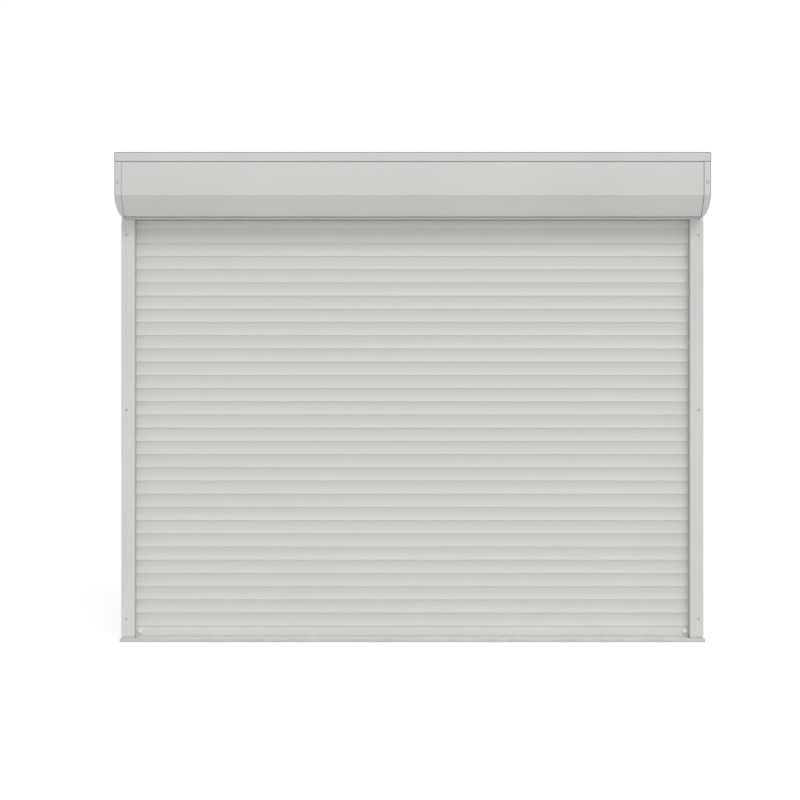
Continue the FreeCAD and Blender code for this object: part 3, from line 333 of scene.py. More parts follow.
# Rail feet: moulded nylon blocks that stand on the sill, one under each rail, set back from the
# rail's faces and open where the curtain's slot runs through.
def mirrored(name, mesh):
    """The same mesh for the door's other end."""
    other = mesh.copy()
    other.name = name
    other.transform(Matrix.Scale(-1, 4, (1, 0, 0)))
    other.flip_normals()
    other.materials.clear()
    return other


def slotted(inner, outer, front, back, half, end, corner, mouth):
    """Outline in plan round the curtain's slot, which opens towards the curtain."""
    return [
        (inner, front, corner),
        (outer, front, corner),
        (outer, back, mouth),
        (inner, back, mouth),
        (inner, half, mouth),
        (end, half, mouth),
        (end, -half, mouth),
        (inner, -half, mouth),
    ]


# Moulded nylon: matt and slightly waxy, with the fine spark texture of its mould. The texture's
# grain is 0.2 mm and is drawn at 1.5 mm.
nylon, tree, place = surface("moulded_grey_nylon", "BEBEBC", 0.55, ior=1.53)
spark = {"Vector": place, "Scale": 1 / 0.0015, "Detail": 3}
grain = add(tree, "ShaderNodeTexNoise", spark).outputs[0]
waxy = {"Vector": place, "Scale": 1 / 0.04, "Detail": 2}
cloud = add(tree, "ShaderNodeTexNoise", waxy).outputs[0]
patterned(tree, (cloud, "B9B9B7", "C2C2C0"), (grain, 0.5, 0.62), (grain, 0.25, 0.0002))

rail_inner, slot_end, rail_bottom = 1.610, 1.648, 0.032
foot_outer, foot_front, foot_back, foot_slot_half = 1.6855, -0.080, 0.016, 0.013
foot_corners = slotted(
    rail_inner, foot_outer, foot_front, foot_back, foot_slot_half, slot_end, 0.003, 0.0008
)
foot_plan = rounded(foot_corners)
for side in ("right", "left"):
    mesh = extruded("right_foot", [foot_plan], sill_height, rail_bottom, axis="z", ease=0.0008)
    if side == "left":
        mesh = mirrored("left_foot", mesh)
    foot = fitted(side + "_rail_foot", mesh, nylon)
    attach(foot, "frame")
    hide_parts("rail_feet")


# Guide rails: extruded aluminium, powder coated light grey, with two fine grooves down the face,
# a closed chamber in front and the curtain's slot behind. Bolted to the wall through the back.
def drilled(mesh, cutters):
    """The mesh with the cutters' shapes taken out of it."""
    work = bpy.data.objects.new("work", mesh)
    scene.collection.objects.link(work)
    tools = []
    for cutter in cutters:
        tool = bpy.data.objects.new("tool", cutter)
        scene.collection.objects.link(tool)
        tools.append(tool)
        step = work.modifiers.new("cut", "BOOLEAN")
        step.object = tool
        step.operation = "DIFFERENCE"
        step.solver = "EXACT"
    ready = bpy.data.meshes.new_from_object(
        work.evaluated_get(bpy.context.evaluated_depsgraph_get())
    )
    ready.name = mesh.name
    for item in [work, *tools]:
        bpy.data.objects.remove(item)
    return shaded(ready)


def turned(name, profile, centre, towards, segments=40):
    """A round piece from its half section, given as (radius, how far out) along its axis."""
    bm = bmesh.new()
    rings = []
    for radius, out in profile:
        if radius == 0:
            rings.append([bm.verts.new((0, 0, out))])
            continue
        turns = [2 * math.pi * step / segments for step in range(segments)]
        rings.append(
            [bm.verts.new((radius * math.cos(t), radius * math.sin(t), out)) for t in turns]
        )
    for low, high in zip(rings, rings[1:]):
        for step in range(segments):
            around = ((low, step - 1), (low, step), (high, step), (high, step - 1))
            corners = [ring[place % len(ring)] for ring, place in around]
            bm.faces.new(list(dict.fromkeys(corners)))
    bmesh.ops.recalc_face_normals(bm, faces=bm.faces)
    mesh = bpy.data.meshes.new(name)
    bm.to_mesh(mesh)
    bm.free()
    turn = Vector(towards).to_track_quat("Z", "Y").to_matrix().to_4x4()
    mesh.transform(Matrix.Translation(centre) @ turn)
    return shaded(mesh)


# Powder coat on aluminium: baked polyester, satin, with a faint orange peel that breaks up the
# light. The peel's waves are 1.5 mm long and are drawn at 6 mm.
def powder_coat(name, low_hex, high_hex):
    """A powder coat that drifts between two tints along a piece."""
    material, tree, place = surface(name, high_hex, 0.45)
    waves = {"Vector": place, "Scale": 1 / 0.006, "Detail": 2}
    peel = add(tree, "ShaderNodeTexNoise", waves).outputs[0]
    drift = {"Vector": place, "Scale": 1 / 0.45, "Detail": 4}
    cloud = add(tree, "ShaderNodeTexNoise", drift).outputs[0]
    patterned(tree, (cloud, low_hex, high_hex), (peel, 0.41, 0.5), (peel, 0.06, 0.0006))
    return material


rail_coat = powder_coat("powder_coated_rail", "CBCBCA", "D1D1CF")

rail_outer, rail_front, rail_back, rail_top = 1.6875, -0.082, 0.018, 2.430
slot_half, rail_wall = 0.0155, 0.0025
rail_plan = slotted(
    rail_inner, rail_outer, rail_front, rail_back, slot_half, slot_end, 0.003, 0.0006
)
groove_half, groove_floor_half, groove_depth = 0.0014, 0.0006, 0.0011
face_grooves = []
for middle in (rail_inner + 0.027, rail_inner + 0.055):
    face_grooves += [
        (middle - groove_half, rail_front, 0.0004),
        (middle - groove_floor_half, rail_front + groove_depth, 0.0003),
        (middle + groove_floor_half, rail_front + groove_depth, 0.0003),
        (middle + groove_half, rail_front, 0.0004),
    ]
rail_plan[1:1] = face_grooves
chamber_outer = rail_outer - rail_wall
front_chamber = boxed(
    rail_inner + rail_wall,
    chamber_outer,
    rail_front + rail_wall,
    -slot_half - rail_wall,
    chamber_corner,
)
outer_chamber = boxed(
    slot_end + rail_wall, chamber_outer, -slot_half, rail_back - rail_wall, chamber_corner
)
rail_outlines = [rounded(rail_plan), rounded(front_chamber), rounded(outer_chamber)]
rail_mesh = extruded("right_rail", rail_outlines, rail_bottom, rail_top, axis="z")
fixing_x, fixing_levels = 1.6585, (0.134, 1.345, 2.359)
driver_radius, bolt_radius, drill_length = 0.008, 0.0045, 0.12
rail_drills = []
for level in fixing_levels:
    for radius, start, way in (
        (driver_radius, 0.0, (0, -1, 0)),
        (bolt_radius, -0.002, (0, 1, 0)),
    ):
        profile = [(0, 0), (radius, 0), (radius, drill_length), (0, drill_length)]
        rail_drills.append(turned("drill", profile, (fixing_x, start, level), way))
rail_mesh = drilled(rail_mesh, rail_drills)
for side in ("right", "left"):
    mesh = rail_mesh if side == "right" else mirrored("left_rail", rail_mesh)
    rail = fitted(side + "_rail_extrusion", mesh, rail_coat)
    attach(rail, "frame")
    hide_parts(side + "_guide_rail")


# Slot seals: grey synthetic rubber strips clipped into the mouth of each slot, where they keep
# the curtain from rattling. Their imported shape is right, so only the finish is new.
# Extruded grey rubber: matt and pale, with soft dusty patches 50 mm long.
grey_rubber, tree, place = surface("extruded_grey_rubber", "E2E2DF", 0.65, ior=1.52)
patches = {"Vector": place, "Scale": 1 / 0.05, "Detail": 4}
dust_and_lap_shade = add(tree, "ShaderNodeTexNoise", patches).outputs[0]
patterned(tree, (dust_and_lap_shade, "DEDEDB", "E6E6E3"), (dust_and_lap_shade, 0.6, 0.75), (dust_and_lap_shade, 0.1, 0.0004))


def refinished(node, material):
    """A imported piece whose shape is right, in its real finish."""
    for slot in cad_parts[node].material_slots:
        slot.material = material


refinished("rail_slot_seals", grey_rubber)

# Cover caps: soft nylon plugs pressed into the drilling holes down each rail's face, with a
# domed rim and a deep dished middle that a blade gets hold of.
cap_profile = [
    (0, 0.0022),
    (0.0036, 0.0022),
    (0.0040, 0.0018),
    (0.0043, -0.0004),
    (0.0050, -0.0011),
    (0.0075, -0.0011),
    (0.0092, -0.0006),
    (0.0099, 0.0000),
    (0.0078, 0.0001),
    (0.0078, 0.0058),
    (0, 0.0058),
]
for side, sign in (("right", 1), ("left", -1)):
    for number, level in enumerate(fixing_levels, 1):
        centre = (sign * fixing_x, rail_front, level)
        name = f"{side}_cover_cap_{number}"
        cap = fitted(name, turned(name, cap_profile, centre, (0, 1, 0)), nylon)
        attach(cap, "frame")
        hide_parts("rail_cover_caps")


# End caps: die-cast aluminium trays, powder coated with the casing, whose rims lap over the
# sheets. The lower outer corner sweeps in to the rail, and a block with a shoulder and a spigot
# stands in the rail's end.
def capped(name, outline, start, end, edge_rounding, rim_rounding):
    """A block of an outline, with the edges of its outer face and along its sides rounded."""
    widest = max(edge_rounding, *rim_rounding)
    bm = bmesh.new()
    weight = bm.edges.layers.float.new("bevel_weight_edge")
    rim = [bm.verts.new((start, *point)) for point in outline]
    outer = [bm.verts.new((end, *point)) for point in outline]
    bm.faces.new(rim)
    bm.faces.new(outer)
    for index in range(len(outline)):
        bm.faces.new((rim[index - 1], rim[index], outer[index], outer[index - 1]))
    for index in range(len(outline)):
        bm.edges.get((outer[index - 1], outer[index]))[weight] = edge_rounding / widest
        bm.edges.get((rim[index], outer[index]))[weight] = rim_rounding[index] / widest
    bmesh.ops.recalc_face_normals(bm, faces=bm.faces)
    mesh = bpy.data.meshes.new(name)
    bm.to_mesh(mesh)
    bm.free()
    work = bpy.data.objects.new("work", mesh)
    scene.collection.objects.link(work)
    step = work.modifiers.new("rounding", "BEVEL")
    step.width = widest
    step.segments = 8
    step.limit_method = "WEIGHT"
    ready = bpy.data.meshes.new_from_object(
        work.evaluated_get(bpy.context.evaluated_depsgraph_get())
    )
    bpy.data.objects.remove(work)
    return ready


def joined(name, meshes):
    """Several closed meshes as one."""
    bm = bmesh.new()
    for mesh in meshes:
        bm.from_mesh(mesh)
    mesh = bpy.data.meshes.new(name)
    bm.to_mesh(mesh)
    bm.free()
    return shaded(mesh)


# The painted shade comes up over 0.8 mm, and over a small turn of the surface towards the front.
edge_shade_fade, facing_fade = 0.0008, 0.15


def painted_edge_shade(material, axis, start, facing_from, edge_shade_hex):
    """Painted shade on a coat past a distance along one axis, where it also faces the front."""
    tree = material.node_tree
    colour = tree.nodes["Principled BSDF"].inputs["Base Color"]
    spot = add(tree, "ShaderNodeTexCoord", {}).outputs["Object"]
    along = add(tree, "ShaderNodeSeparateXYZ", {0: spot}).outputs[axis]
    reach = add(tree, "ShaderNodeMath", {0: along}, operation="ABSOLUTE").outputs[0]
    past = {"Value": reach, "From Min": start, "From Max": start + edge_shade_fade}
    look = add(tree, "ShaderNodeNewGeometry", {}).outputs["Normal"]
    facing = {"Value": add(tree, "ShaderNodeSeparateXYZ", {0: look}).outputs["Y"]}
    facing.update({"From Min": facing_from, "From Max": facing_from - facing_fade})
    shares = {0: add(tree, "ShaderNodeMapRange", past).outputs[0]}
    shares[1] = add(tree, "ShaderNodeMapRange", facing).outputs[0]
    # Painted shade: the coat's colour is mixed towards the dark one where both masks hold.
    shade_share = add(tree, "ShaderNodeMath", shares, operation="MULTIPLY").outputs[0]
    colours = {0: shade_share, 6: colour.links[0].from_socket, 7: linear(edge_shade_hex)}
    tree.links.new(add(tree, "ShaderNodeMix", colours, data_type="RGBA").outputs[2], colour)


# The casing's coat carries painted shade, a darker band along its outer edges and the lid's front
# bend.
casing_coat = powder_coat("powder_coated_casing", "CACAC9", "CFCFCD")
painted_edge_shade(casing_coat, "X", 1.6885, -0.2, "7C7C7A")
painted_edge_shade(casing_coat, "Z", 2.8043, -0.15, "7A7A79")

casing_back, casing_floor = 0.018, 2.450
cap_front, cap_top, knee = -0.3398, 2.8078, 2.565
cap_outer, cap_edge = 1.6925, 1.6545
edge_rounding, cap_wall = 0.005, 0.002
sweep_across, sweep_up = 0.036, 0.095
cut_past, cut_front, cut_back = 0.02, -0.36, 0.04


def swept_in(mesh, inset):
    """The mesh less both low outer corners, along a quarter of an ellipse moved in by an inset."""
    cutters = []
    centre_x, centre_z = cap_outer - sweep_across, casing_floor + sweep_up
    across, up = sweep_across - inset, sweep_up - inset
    for sign in (-1, 1):
        turns = [math.radians(step) for step in range(3, 91, 6)]
        outline = [(centre_x + across * math.sin(t), centre_z - up * math.cos(t)) for t in turns]
        outline += [(cap_outer + cut_past, outline[-1][1])]
        outline += [(cap_outer + cut_past, casing_floor - cut_past)]
        outline += [(outline[0][0], casing_floor - cut_past)]
        plan = [Vector((sign * x, z)) for x, z in outline]
        cutters.append(extruded("sweep", [plan], cut_front, cut_back, axis="y", ease=0.0001))
    return drilled(mesh, cutters)


cap_outline = [
    (casing_back, casing_floor),
    (casing_back, cap_top),
    (cap_front, cap_top),
    (cap_front, knee),
    (cap_front + knee - casing_floor, casing_floor),
]
cap_rims = (0.003, 0.003, 0.011, 0.003, 0.003)
cap_block = capped("right_cap", cap_outline, cap_edge, cap_outer, edge_rounding, cap_rims)
cap_inside = capped(
    "cap_inside",
    [tuple(point) for point in moved_in([Vector(point) for point in cap_outline], cap_wall)],
    cap_edge - cut_past / 2,
    cap_outer - cap_wall,
    edge_rounding - cap_wall,
    [rounding - cap_wall for rounding in cap_rims],
)
cap_shell = drilled(swept_in(cap_block, 0), [swept_in(cap_inside, cap_wall)])
tongue_top, shoulder_inner, shoulder_top = 2.452, 1.6625, 2.492
cap_tongue = extruded("cap_tongue", [foot_plan], rail_top, tongue_top, axis="z")
spigot_plan = rounded(boxed(1.613, 1.6845, -0.079, -0.0185, 0.002))
spigot_bottom, spigot_top = 2.380, tongue_top - 0.0015
cap_spigot = extruded(
    "cap_spigot", [spigot_plan], spigot_bottom, spigot_top, axis="z", ease=0.002
)
shoulder_plan = [
    (shoulder_inner, foot_front, 0.001),
    (foot_outer, foot_front, 0.003),
    (foot_outer, foot_back, 0.003),
    (shoulder_inner, foot_back, 0.001),
]
cap_shoulder = extruded(
    "cap_shoulder", [rounded(shoulder_plan)], tongue_top - 0.0005, shoulder_top, axis="z"
)
barrel_y, barrel_z = -0.162, 2.630
pad_half, pad_corner, pad_inner, pad_outer = 0.078, 0.014, 1.6895, 1.6910
pad_plan = boxed(
    barrel_y - pad_half, barrel_y + pad_half, barrel_z - pad_half, barrel_z + pad_half, pad_corner
)
cap_pad = extruded("cap_pad", [rounded(pad_plan)], pad_inner, pad_outer)
cap_parts = [cap_shell, cap_tongue, cap_spigot, cap_shoulder, cap_pad]
cap_mesh = joined("right_end_casting", cap_parts)
for side in ("right", "left"):
    mesh = cap_mesh if side == "right" else mirrored("left_end_casting", cap_mesh)
    end_cap = fitted(side + "_end_casting", mesh, casing_coat)
    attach(end_cap, "frame")
    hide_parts(side + "_end_cap")

# Barrel supports: square steel plates bolted to the end caps, and the ball bearing on the idler's
# side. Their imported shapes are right.
# Galvanised steel: hot-dip zinc over rolled plate, cool grey with spangles 8 mm across that catch
# the light one by one.
galvanised, tree, place = surface("galvanised_steel", "A9ABAD", 0.42, metallic=1.0)
crystals = {"Vector": place, "Scale": 1 / 0.008, "Randomness": 1.0}
spangle = add(tree, "ShaderNodeTexVoronoi", crystals).outputs
grey = add(tree, "ShaderNodeSeparateColor", {"Color": spangle["Color"]}).outputs[0]
relief = (spangle["Distance"], 0.08, 0.0004)
patterned(tree, (grey, "9DA0A2", "B4B6B7"), (grey, 0.34, 0.52), relief)

# Ground bearing steel: hard and bright, with grinding lines round each race, 0.5 mm apart.
bearing_steel, tree, place = surface("ground_bearing_steel", "C4C5C6", 0.22, metallic=1.0)
grinding = {"Vector": place, "Scale": 0.6 / 0.0005, "Distortion": 2.0}
bands = {"wave_type": "BANDS", "bands_direction": "X"}
lines = add(tree, "ShaderNodeTexWave", grinding, **bands).outputs["Fac"]
tints, gloss, relief = (lines, "BCBDBE", "C9CACB"), (lines, 0.18, 0.28), (lines, 0.05, 0.0001)
patterned(tree, tints, gloss, relief, lowest=0, highest=1)

refinished("motor_bracket", galvanised)
refinished("idler_bracket", galvanised)
refinished("idler_bearing", bearing_steel)

# Drive: a tubular motor inside the barrel, held by its square pin, with the crown ring and drive
# wheel that turn the barrel, and the plugged idler shaft at the other end.
# Stove enamel on steel tube: dark, half gloss, slightly uneven where it ran in the oven.
enamel, tree, place = surface("stove_enamelled_steel", "4A4E52", 0.35)
running = {"Vector": place, "Scale": 1 / 0.03, "Detail": 3}
run = add(tree, "ShaderNodeTexNoise", running).outputs[0]
patterned(tree, (run, "464A4E", "505458"), (run, 0.3, 0.42), (run, 0.15, 0.0004))

# Glass-filled nylon: near black, with grey fibre flecks 1 mm long at its skin.
fibre_nylon, tree, place = surface("glass_filled_nylon", "2E2F31", 0.5, ior=1.53)
fibres = {"Vector": place, "Scale": 1 / 0.001, "Randomness": 1.0}
fleck = add(tree, "ShaderNodeTexVoronoi", fibres).outputs["Distance"]
patterned(tree, (fleck, "3D3F41", "292A2C"), (fleck, 0.45, 0.6), (fleck, 0.1, 0.0002))

refinished("tubular_motor", enamel)
refinished("drive_adapter", fibre_nylon)
refinished("barrel_tube", galvanised)
refinished("idler_shaft", galvanised)

# Hangers: pressed rings of galvanised steel round the barrel, with pairs of pinned steel links
# whose claws carry the top slat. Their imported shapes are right.
refinished("hanger_rings", galvanised)
refinished("hanger_upper_links", galvanised)
refinished("hanger_lower_links", galvanised)


# Slats: hollow aluminium laths, stove lacquered before assembly. Each is hollow-faced, laps over
# the one above with its lower lip, and hangs in a channel on the bead of the one below.
def bowed(start, end, rise, steps):
    """Points along a shallow bow from start to end, whose middle lies the rise to its left."""
    start, end = Vector(start), Vector(end)
    chord = end - start
    radius = chord.length**2 / (8 * rise) + rise / 2
    left = Vector((-chord.y, chord.x)).normalized()
    centre = (start + end) / 2 + left * (rise - radius)
    first, last = start - centre, end - centre
    points = [
        centre + first.normalized().slerp(last.normalized(), step / steps) * abs(radius)
        for step in range(steps + 1)
    ]
    return [(point.x, point.y, 0) for point in points]


def ringed(centre_z, radius, start, end, steps):
    """Points round a circle on the slat's middle, between two angles from straight up."""
    turns = [math.radians(start + (end - start) * step / steps) for step in range(steps + 1)]
    return [(radius * math.sin(t), centre_z + radius * math.cos(t), 0) for t in turns]


def eased_ends(bow, first, last):
    """A bow whose end points are corners with the radii given."""
    return [(*bow[0][:2], first), *bow[1:-1], (*bow[-1][:2], last)]


slat_pitch, slat_gap, slat_half = 0.077, 0.0003, 1.640
shoulder = slat_pitch - slat_gap
curtain_bottom, slat_count = 0.085, 33
lip_y, top_y, back_y = -0.009, -0.0066, 0.0054
bead_lift, bead_radius, neck_half = 0.006, 0.003, 0.001
channel_radius, mouth_half, ring_steps = 0.0034, 0.0019, 14
mouth_angle = math.degrees(math.asin(mouth_half / channel_radius))
neck_angle = math.degrees(math.asin(neck_half / bead_radius))
face_hollow, face_steps, back_bow = 0.0034, 26, -0.0036
hollow_face = []
for step in range(face_steps + 1):
    share = step / face_steps
    inwards = face_hollow * (1 - abs(2 * share - 1) ** 3)
    hollow_face.append((top_y + (lip_y - top_y) * share + inwards, shoulder * (1 - share), 0))
slat_outside = [
    (-mouth_half, 0, 0.0004),
    *ringed(bead_lift, channel_radius, -180 + mouth_angle, 180 - mouth_angle, ring_steps),
    (mouth_half, 0, 0.0004),
    *eased_ends(bowed((back_y, 0), (back_y, shoulder), back_bow, ring_steps), 0.0008, 0.0008),
    (neck_half, shoulder, 0.0003),
    *ringed(slat_pitch + bead_lift, bead_radius, 180 - neck_angle, neck_angle - 180, ring_steps),
    (-neck_half, shoulder, 0.0003),
    *eased_ends(hollow_face, 0.0009, 0.0012),
]
hollow_low, hollow_high, hollow_bow = 0.013, 0.071, 0.0019
hollow_back = bowed((0.0062, hollow_low), (0.0062, hollow_high), -hollow_bow, 8)
hollow_front = bowed((-0.0048, hollow_high), (-0.0054, hollow_low), hollow_bow, 10)
slat_hollow = [*eased_ends(hollow_back, 0.001, 0.001), *eased_ends(hollow_front, 0.001, 0.001)]
lock_plan = [
    (-0.0076, 0.0135, 0.001),
    (0.0072, 0.0135, 0.001),
    (0.0072, 0.0705, 0.001),
    (-0.0056, 0.0705, 0.001),
]
slat_body = extruded(
    "slat", [rounded(slat_outside), rounded(slat_hollow)], -slat_half, slat_half
)
lock_length = 0.003
lock = extruded("lock", [rounded(lock_plan)], slat_half, slat_half + lock_length, ease=0.0006)

# Lacquered aluminium: a thin baked coat on a drawn lath, satin and a shade warmer than the
# casing. Faint draw lines run its length, and no two laths took quite the same tint. Each lath
# carries painted shade, darker under the lap of the one above and fading out towards the lip.
lacquer, tree, place = surface("lacquered_aluminium_slat", "CDCDCA", 0.42)
drawn = add(tree, "ShaderNodeMapping", {"Vector": place, "Scale": (0.02, 1, 1)}).outputs[0]
drawing = {"Vector": drawn, "Scale": 1 / 0.004, "Detail": 3}
draw_lines = add(tree, "ShaderNodeTexNoise", drawing).outputs[0]
by_lath = {"Vector": place, "Scale": (0.25, 0.0, 1 / slat_pitch)}
batching = {"Vector": add(tree, "ShaderNodeMapping", by_lath).outputs[0]}
batching.update({"Scale": 0.9, "Detail": 2})
batches = add(tree, "ShaderNodeTexNoise", batching).outputs[0]
both = add(tree, "ShaderNodeMath", {0: draw_lines, 1: batches}, operation="ADD").outputs[0]
mean = add(tree, "ShaderNodeMath", {0: both, 1: 0.5}, operation="MULTIPLY").outputs[0]
patterned(tree, (mean, "CDCCC9", "D4D3D0"), (draw_lines, 0.38, 0.48), (draw_lines, 0.08, 0.0004))
# Painted shade: each lath turns towards a darker tint from a quarter of its height up to the lap
# above.
height = add(tree, "ShaderNodeSeparateXYZ", {0: place}).outputs["Z"]
pitches = {0: height, 1: 1 / slat_pitch, 2: -curtain_bottom / slat_pitch}
laps = add(tree, "ShaderNodeMath", pitches, operation="MULTIPLY_ADD").outputs[0]
up_lath = add(tree, "ShaderNodeMath", {0: laps}, operation="FRACT").outputs[0]
lap_shading = {"Value": up_lath, "From Min": 0.25, "From Max": 1.0}
dust_and_lap_shade = add(tree, "ShaderNodeMapRange", lap_shading).outputs[0]
colour = tree.nodes["Principled BSDF"].inputs["Base Color"]
colours = {0: dust_and_lap_shade, 6: colour.links[0].from_socket, 7: linear("C6C5C2")}
tree.links.new(add(tree, "ShaderNodeMix", colours, data_type="RGBA").outputs[2], colour)

bm = bmesh.new()
for mesh in (slat_body, lock, mirrored("other_lock", lock)):
    bm.from_mesh(mesh)
hair = 1e-5
for face in bm.faces:
    reaches = [abs(corner.co.x) for corner in face.verts]
    if min(reaches) > slat_half - hair:
        face.material_index = int(max(reaches) > slat_half + hair)
slat_mesh = bpy.data.meshes.new("slat_with_locks")
bm.to_mesh(slat_mesh)
bm.free()
shaded(slat_mesh)
for index in range(slat_count):
    node = f"slat_{index + 1:02d}"
    mesh = slat_mesh.copy()
    mesh.transform(Matrix.Translation((0, 0, curtain_bottom + index * slat_pitch)))
    slat = fitted(f"curtain_{node}", mesh, lacquer, fibre_nylon)
    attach(slat, node)
    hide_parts(node)

# Bottom bar: a stiff powder-coated extrusion under the lowest slat, closed to the front, with a
# slot underneath for its seal.
bar_bottom, bar_height, bar_back, bar_chamfer = 0.028, 0.057, 0.009, 0.0045
bar_top = bar_height - slat_gap
root_half, root_depth = 0.003, 0.005
bar_outside = [
    (lip_y, 0, 0.0015),
    (-root_half, 0, 0.0003),
    (-root_half, root_depth, 0.0003),
    (root_half, root_depth, 0.0003),
    (root_half, 0, 0.0003),
    (bar_back, 0, 0.0015),
    (bar_back, bar_top, 0.0015),
    (neck_half, bar_top, 0.0003),
    *ringed(bar_height + bead_lift, bead_radius, 180 - neck_angle, neck_angle - 180, ring_steps),
    (-neck_half, bar_top, 0.0003),
    (lip_y + bar_chamfer, bar_top, 0.0008),
    (lip_y, bar_top - bar_chamfer, 0.0012),
]
bar_hollow = boxed(-0.007, 0.007, 0.007, 0.050, 0.001)
bar_coat = powder_coat("powder_coated_bottom_bar", "CDCDCA", "D2D2CF")
bar_mesh = extruded(
    "bottom_bar", [rounded(bar_outside), rounded(bar_hollow)], -slat_half, slat_half
)
bar_mesh.transform(Matrix.Translation((0, 0, bar_bottom)))
bar = fitted("bottom_bar_extrusion", bar_mesh, bar_coat)
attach(bar, "bottom_bar")
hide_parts("bottom_bar")

# Bottom seal: grey rubber strip drawn into the bar's slot by its root, with a flat foot that
# meets the sill and stays two millimetres clear of the bar.
seal_corners = [
    (-0.0064, 0.0203, 0.0006),
    (0.0064, 0.0203, 0.0006),
    (0.007, 0.023, 0.0006),
    (0.007, 0.0257, 0.0004),
    (0.0028, 0.0257, 0.0003),
    (0.0028, 0.0328, 0.0006),
    (-0.0028, 0.0328, 0.0006),
    (-0.0028, 0.0257, 0.0003),
    (-0.007, 0.0257, 0.0004),
    (-0.007, 0.023, 0.0006),
]
seal_mesh = extruded("bottom_seal", [rounded(seal_corners)], -slat_half, slat_half)
seal = fitted("bottom_seal_strip", seal_mesh, grey_rubber)
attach(seal, "bottom_bar")
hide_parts("bottom_seal")

# End stops: tapered buffers of light grey moulded rubber, screwed to the bottom bar near its
# ends, which meet the casing when the door is fully open.
# Moulded grey rubber: dead matt, with a dry bloom in soft patches 10 mm across.
stop_rubber, tree, place = surface("moulded_grey_rubber", "ECECE9", 0.7, ior=1.52)
blooming = {"Vector": place, "Scale": 1 / 0.01, "Detail": 3}
bloom = add(tree, "ShaderNodeTexNoise", blooming).outputs[0]
patterned(tree, (bloom, "E8E8E5", "F0F0ED"), (bloom, 0.68, 0.82), (bloom, 0.2, 0.0003))

stop_x, stop_z = 1.585, 0.060
stop_profile = [
    (0, 0.0001),
    (0.0160, 0.0001),
    (0.0168, 0.0008),
    (0.0168, 0.0030),
    (0.0160, 0.0042),
    (0.0128, 0.0205),
    (0.0118, 0.0228),
    (0.0100, 0.0238),
    (0.0044, 0.0238),
    (0.0037, 0.0231),
    (0.0035, 0.0165),
    (0.0022, 0.0165),
    (0.0019, 0.0176),
    (0, 0.0180),
]
for side, sign in (("right", 1), ("left", -1)):
    name = side + "_end_stop"
    mesh = turned(name, stop_profile, (sign * stop_x, lip_y, stop_z), (0, -1, 0), 48)
    stop = fitted(name, mesh, stop_rubber)
    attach(stop, "bottom_bar")
    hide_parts("end_stops")

# Casing back panel: folded sheet against the wall, stiffened by two pressed beads, with the
# fixing holes in a row and one for the motor's lead. An ear at each end reaches down to the rail
# and covers the curtain's end.
sheet, panel_half, panel_play = 0.002, 1.6885, 0.0005
back_face, back_low, back_top = 0.0158, 2.475, 2.8056
bead_foot, bead_crown, bead_corner, bead_depth = 0.009, 0.005, 0.003, 0.002


def beaded(y, bead_levels, run):
    """Past the beads on one face of a pressed sheet, upwards with a run of 1, down with -1."""
    points = []
    for level in bead_levels[::run]:
        points += [
            (y, level - run * bead_foot, bead_corner),
            (y - bead_depth, level - run * bead_crown, bead_corner),
            (y - bead_depth, level + run * bead_crown, bead_corner),
            (y, level + run * bead_foot, bead_corner),
        ]
    return points


back_beads = (2.53, 2.71)
back_corners = [
    (back_face, back_low, 0.0006),
    *beaded(back_face, back_beads, 1),
    (back_face, back_top, 0.0006),
    (back_face - sheet, back_top, 0.0006),
    *beaded(back_face - sheet, back_beads, -1),
    (back_face - sheet, back_low, 0.0006),
]
back_mesh = extruded("back_panel", [rounded(back_corners)], -panel_half, panel_half)
grommet_x, grommet_z, grommet_seat = 1.560, 2.750, 0.0082
screw_row, wall_row = (-1.2, -0.4, 0.4, 1.2), 2.770
drill_half, back_middle = 0.01, 0.0148
back_drills = []
for x, z, radius in [
    *((x, wall_row, bolt_radius) for x in screw_row),
    (grommet_x, grommet_z, grommet_seat),
]:
    profile = [(0, -drill_half), (radius, -drill_half), (radius, drill_half), (0, drill_half)]
    back_drills.append(turned("drill", profile, (x, back_middle, z), (0, 1, 0)))
back_drilled = swept_in(drilled(back_mesh, back_drills), cap_wall + panel_play)
ear_bottom, ear_top = 2.4526, back_low + 0.001
ear_plan = boxed(1.612, 1.658, 0.0138, back_face, 0.0002)
back_ear = extruded("back_ear", [rounded(ear_plan)], ear_bottom, ear_top, axis="z")
back_parts = [back_drilled, back_ear, mirrored("back_ear", back_ear)]
back_panel = fitted("back_sheet", joined("back_sheet", back_parts), casing_coat)
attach(back_panel, "frame")
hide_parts("casing_back_panel")

# Cable grommet: rubber bush snapped into the back panel, where the motor's lead goes through the
# wall. No lead is seen, so none is made.
# Extruded rubber: dull and dusty, with fine draw marks along it, drawn 3 mm apart.
rubber, tree, place = surface("extruded_black_rubber", "2B2B2C", 0.7, ior=1.52)
drawn = add(tree, "ShaderNodeMapping", {"Vector": place, "Scale": (1, 1, 0.1)}).outputs[0]
marks = add(tree, "ShaderNodeTexNoise", {"Vector": drawn, "Scale": 1 / 0.003}).outputs[0]
blooming = {"Vector": place, "Scale": 1 / 0.05, "Detail": 4}
bloom = add(tree, "ShaderNodeTexNoise", blooming).outputs[0]
patterned(tree, (bloom, "262627", "3A3A39"), (bloom, 0.62, 0.8), (marks, 0.3, 0.0003))

grommet_profile = [
    (0.0052, 0),
    (0.0074, 0),
    (0.0079, 0.0006),
    (0.0079, 0.0042),
    (0.0100, 0.0042),
    (0.0109, 0.0048),
    (0.0104, 0.0060),
    (0.0060, 0.0061),
    (0.0052, 0.0054),
    (0.0052, 0),
]
grommet_face = (grommet_x, 0.0179, grommet_z)
grommet_mesh = turned("grommet", grommet_profile, grommet_face, (0, -1, 0), 32)
grommet = fitted("grommet_bush", grommet_mesh, rubber)
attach(grommet, "frame")
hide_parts("cable_grommet")

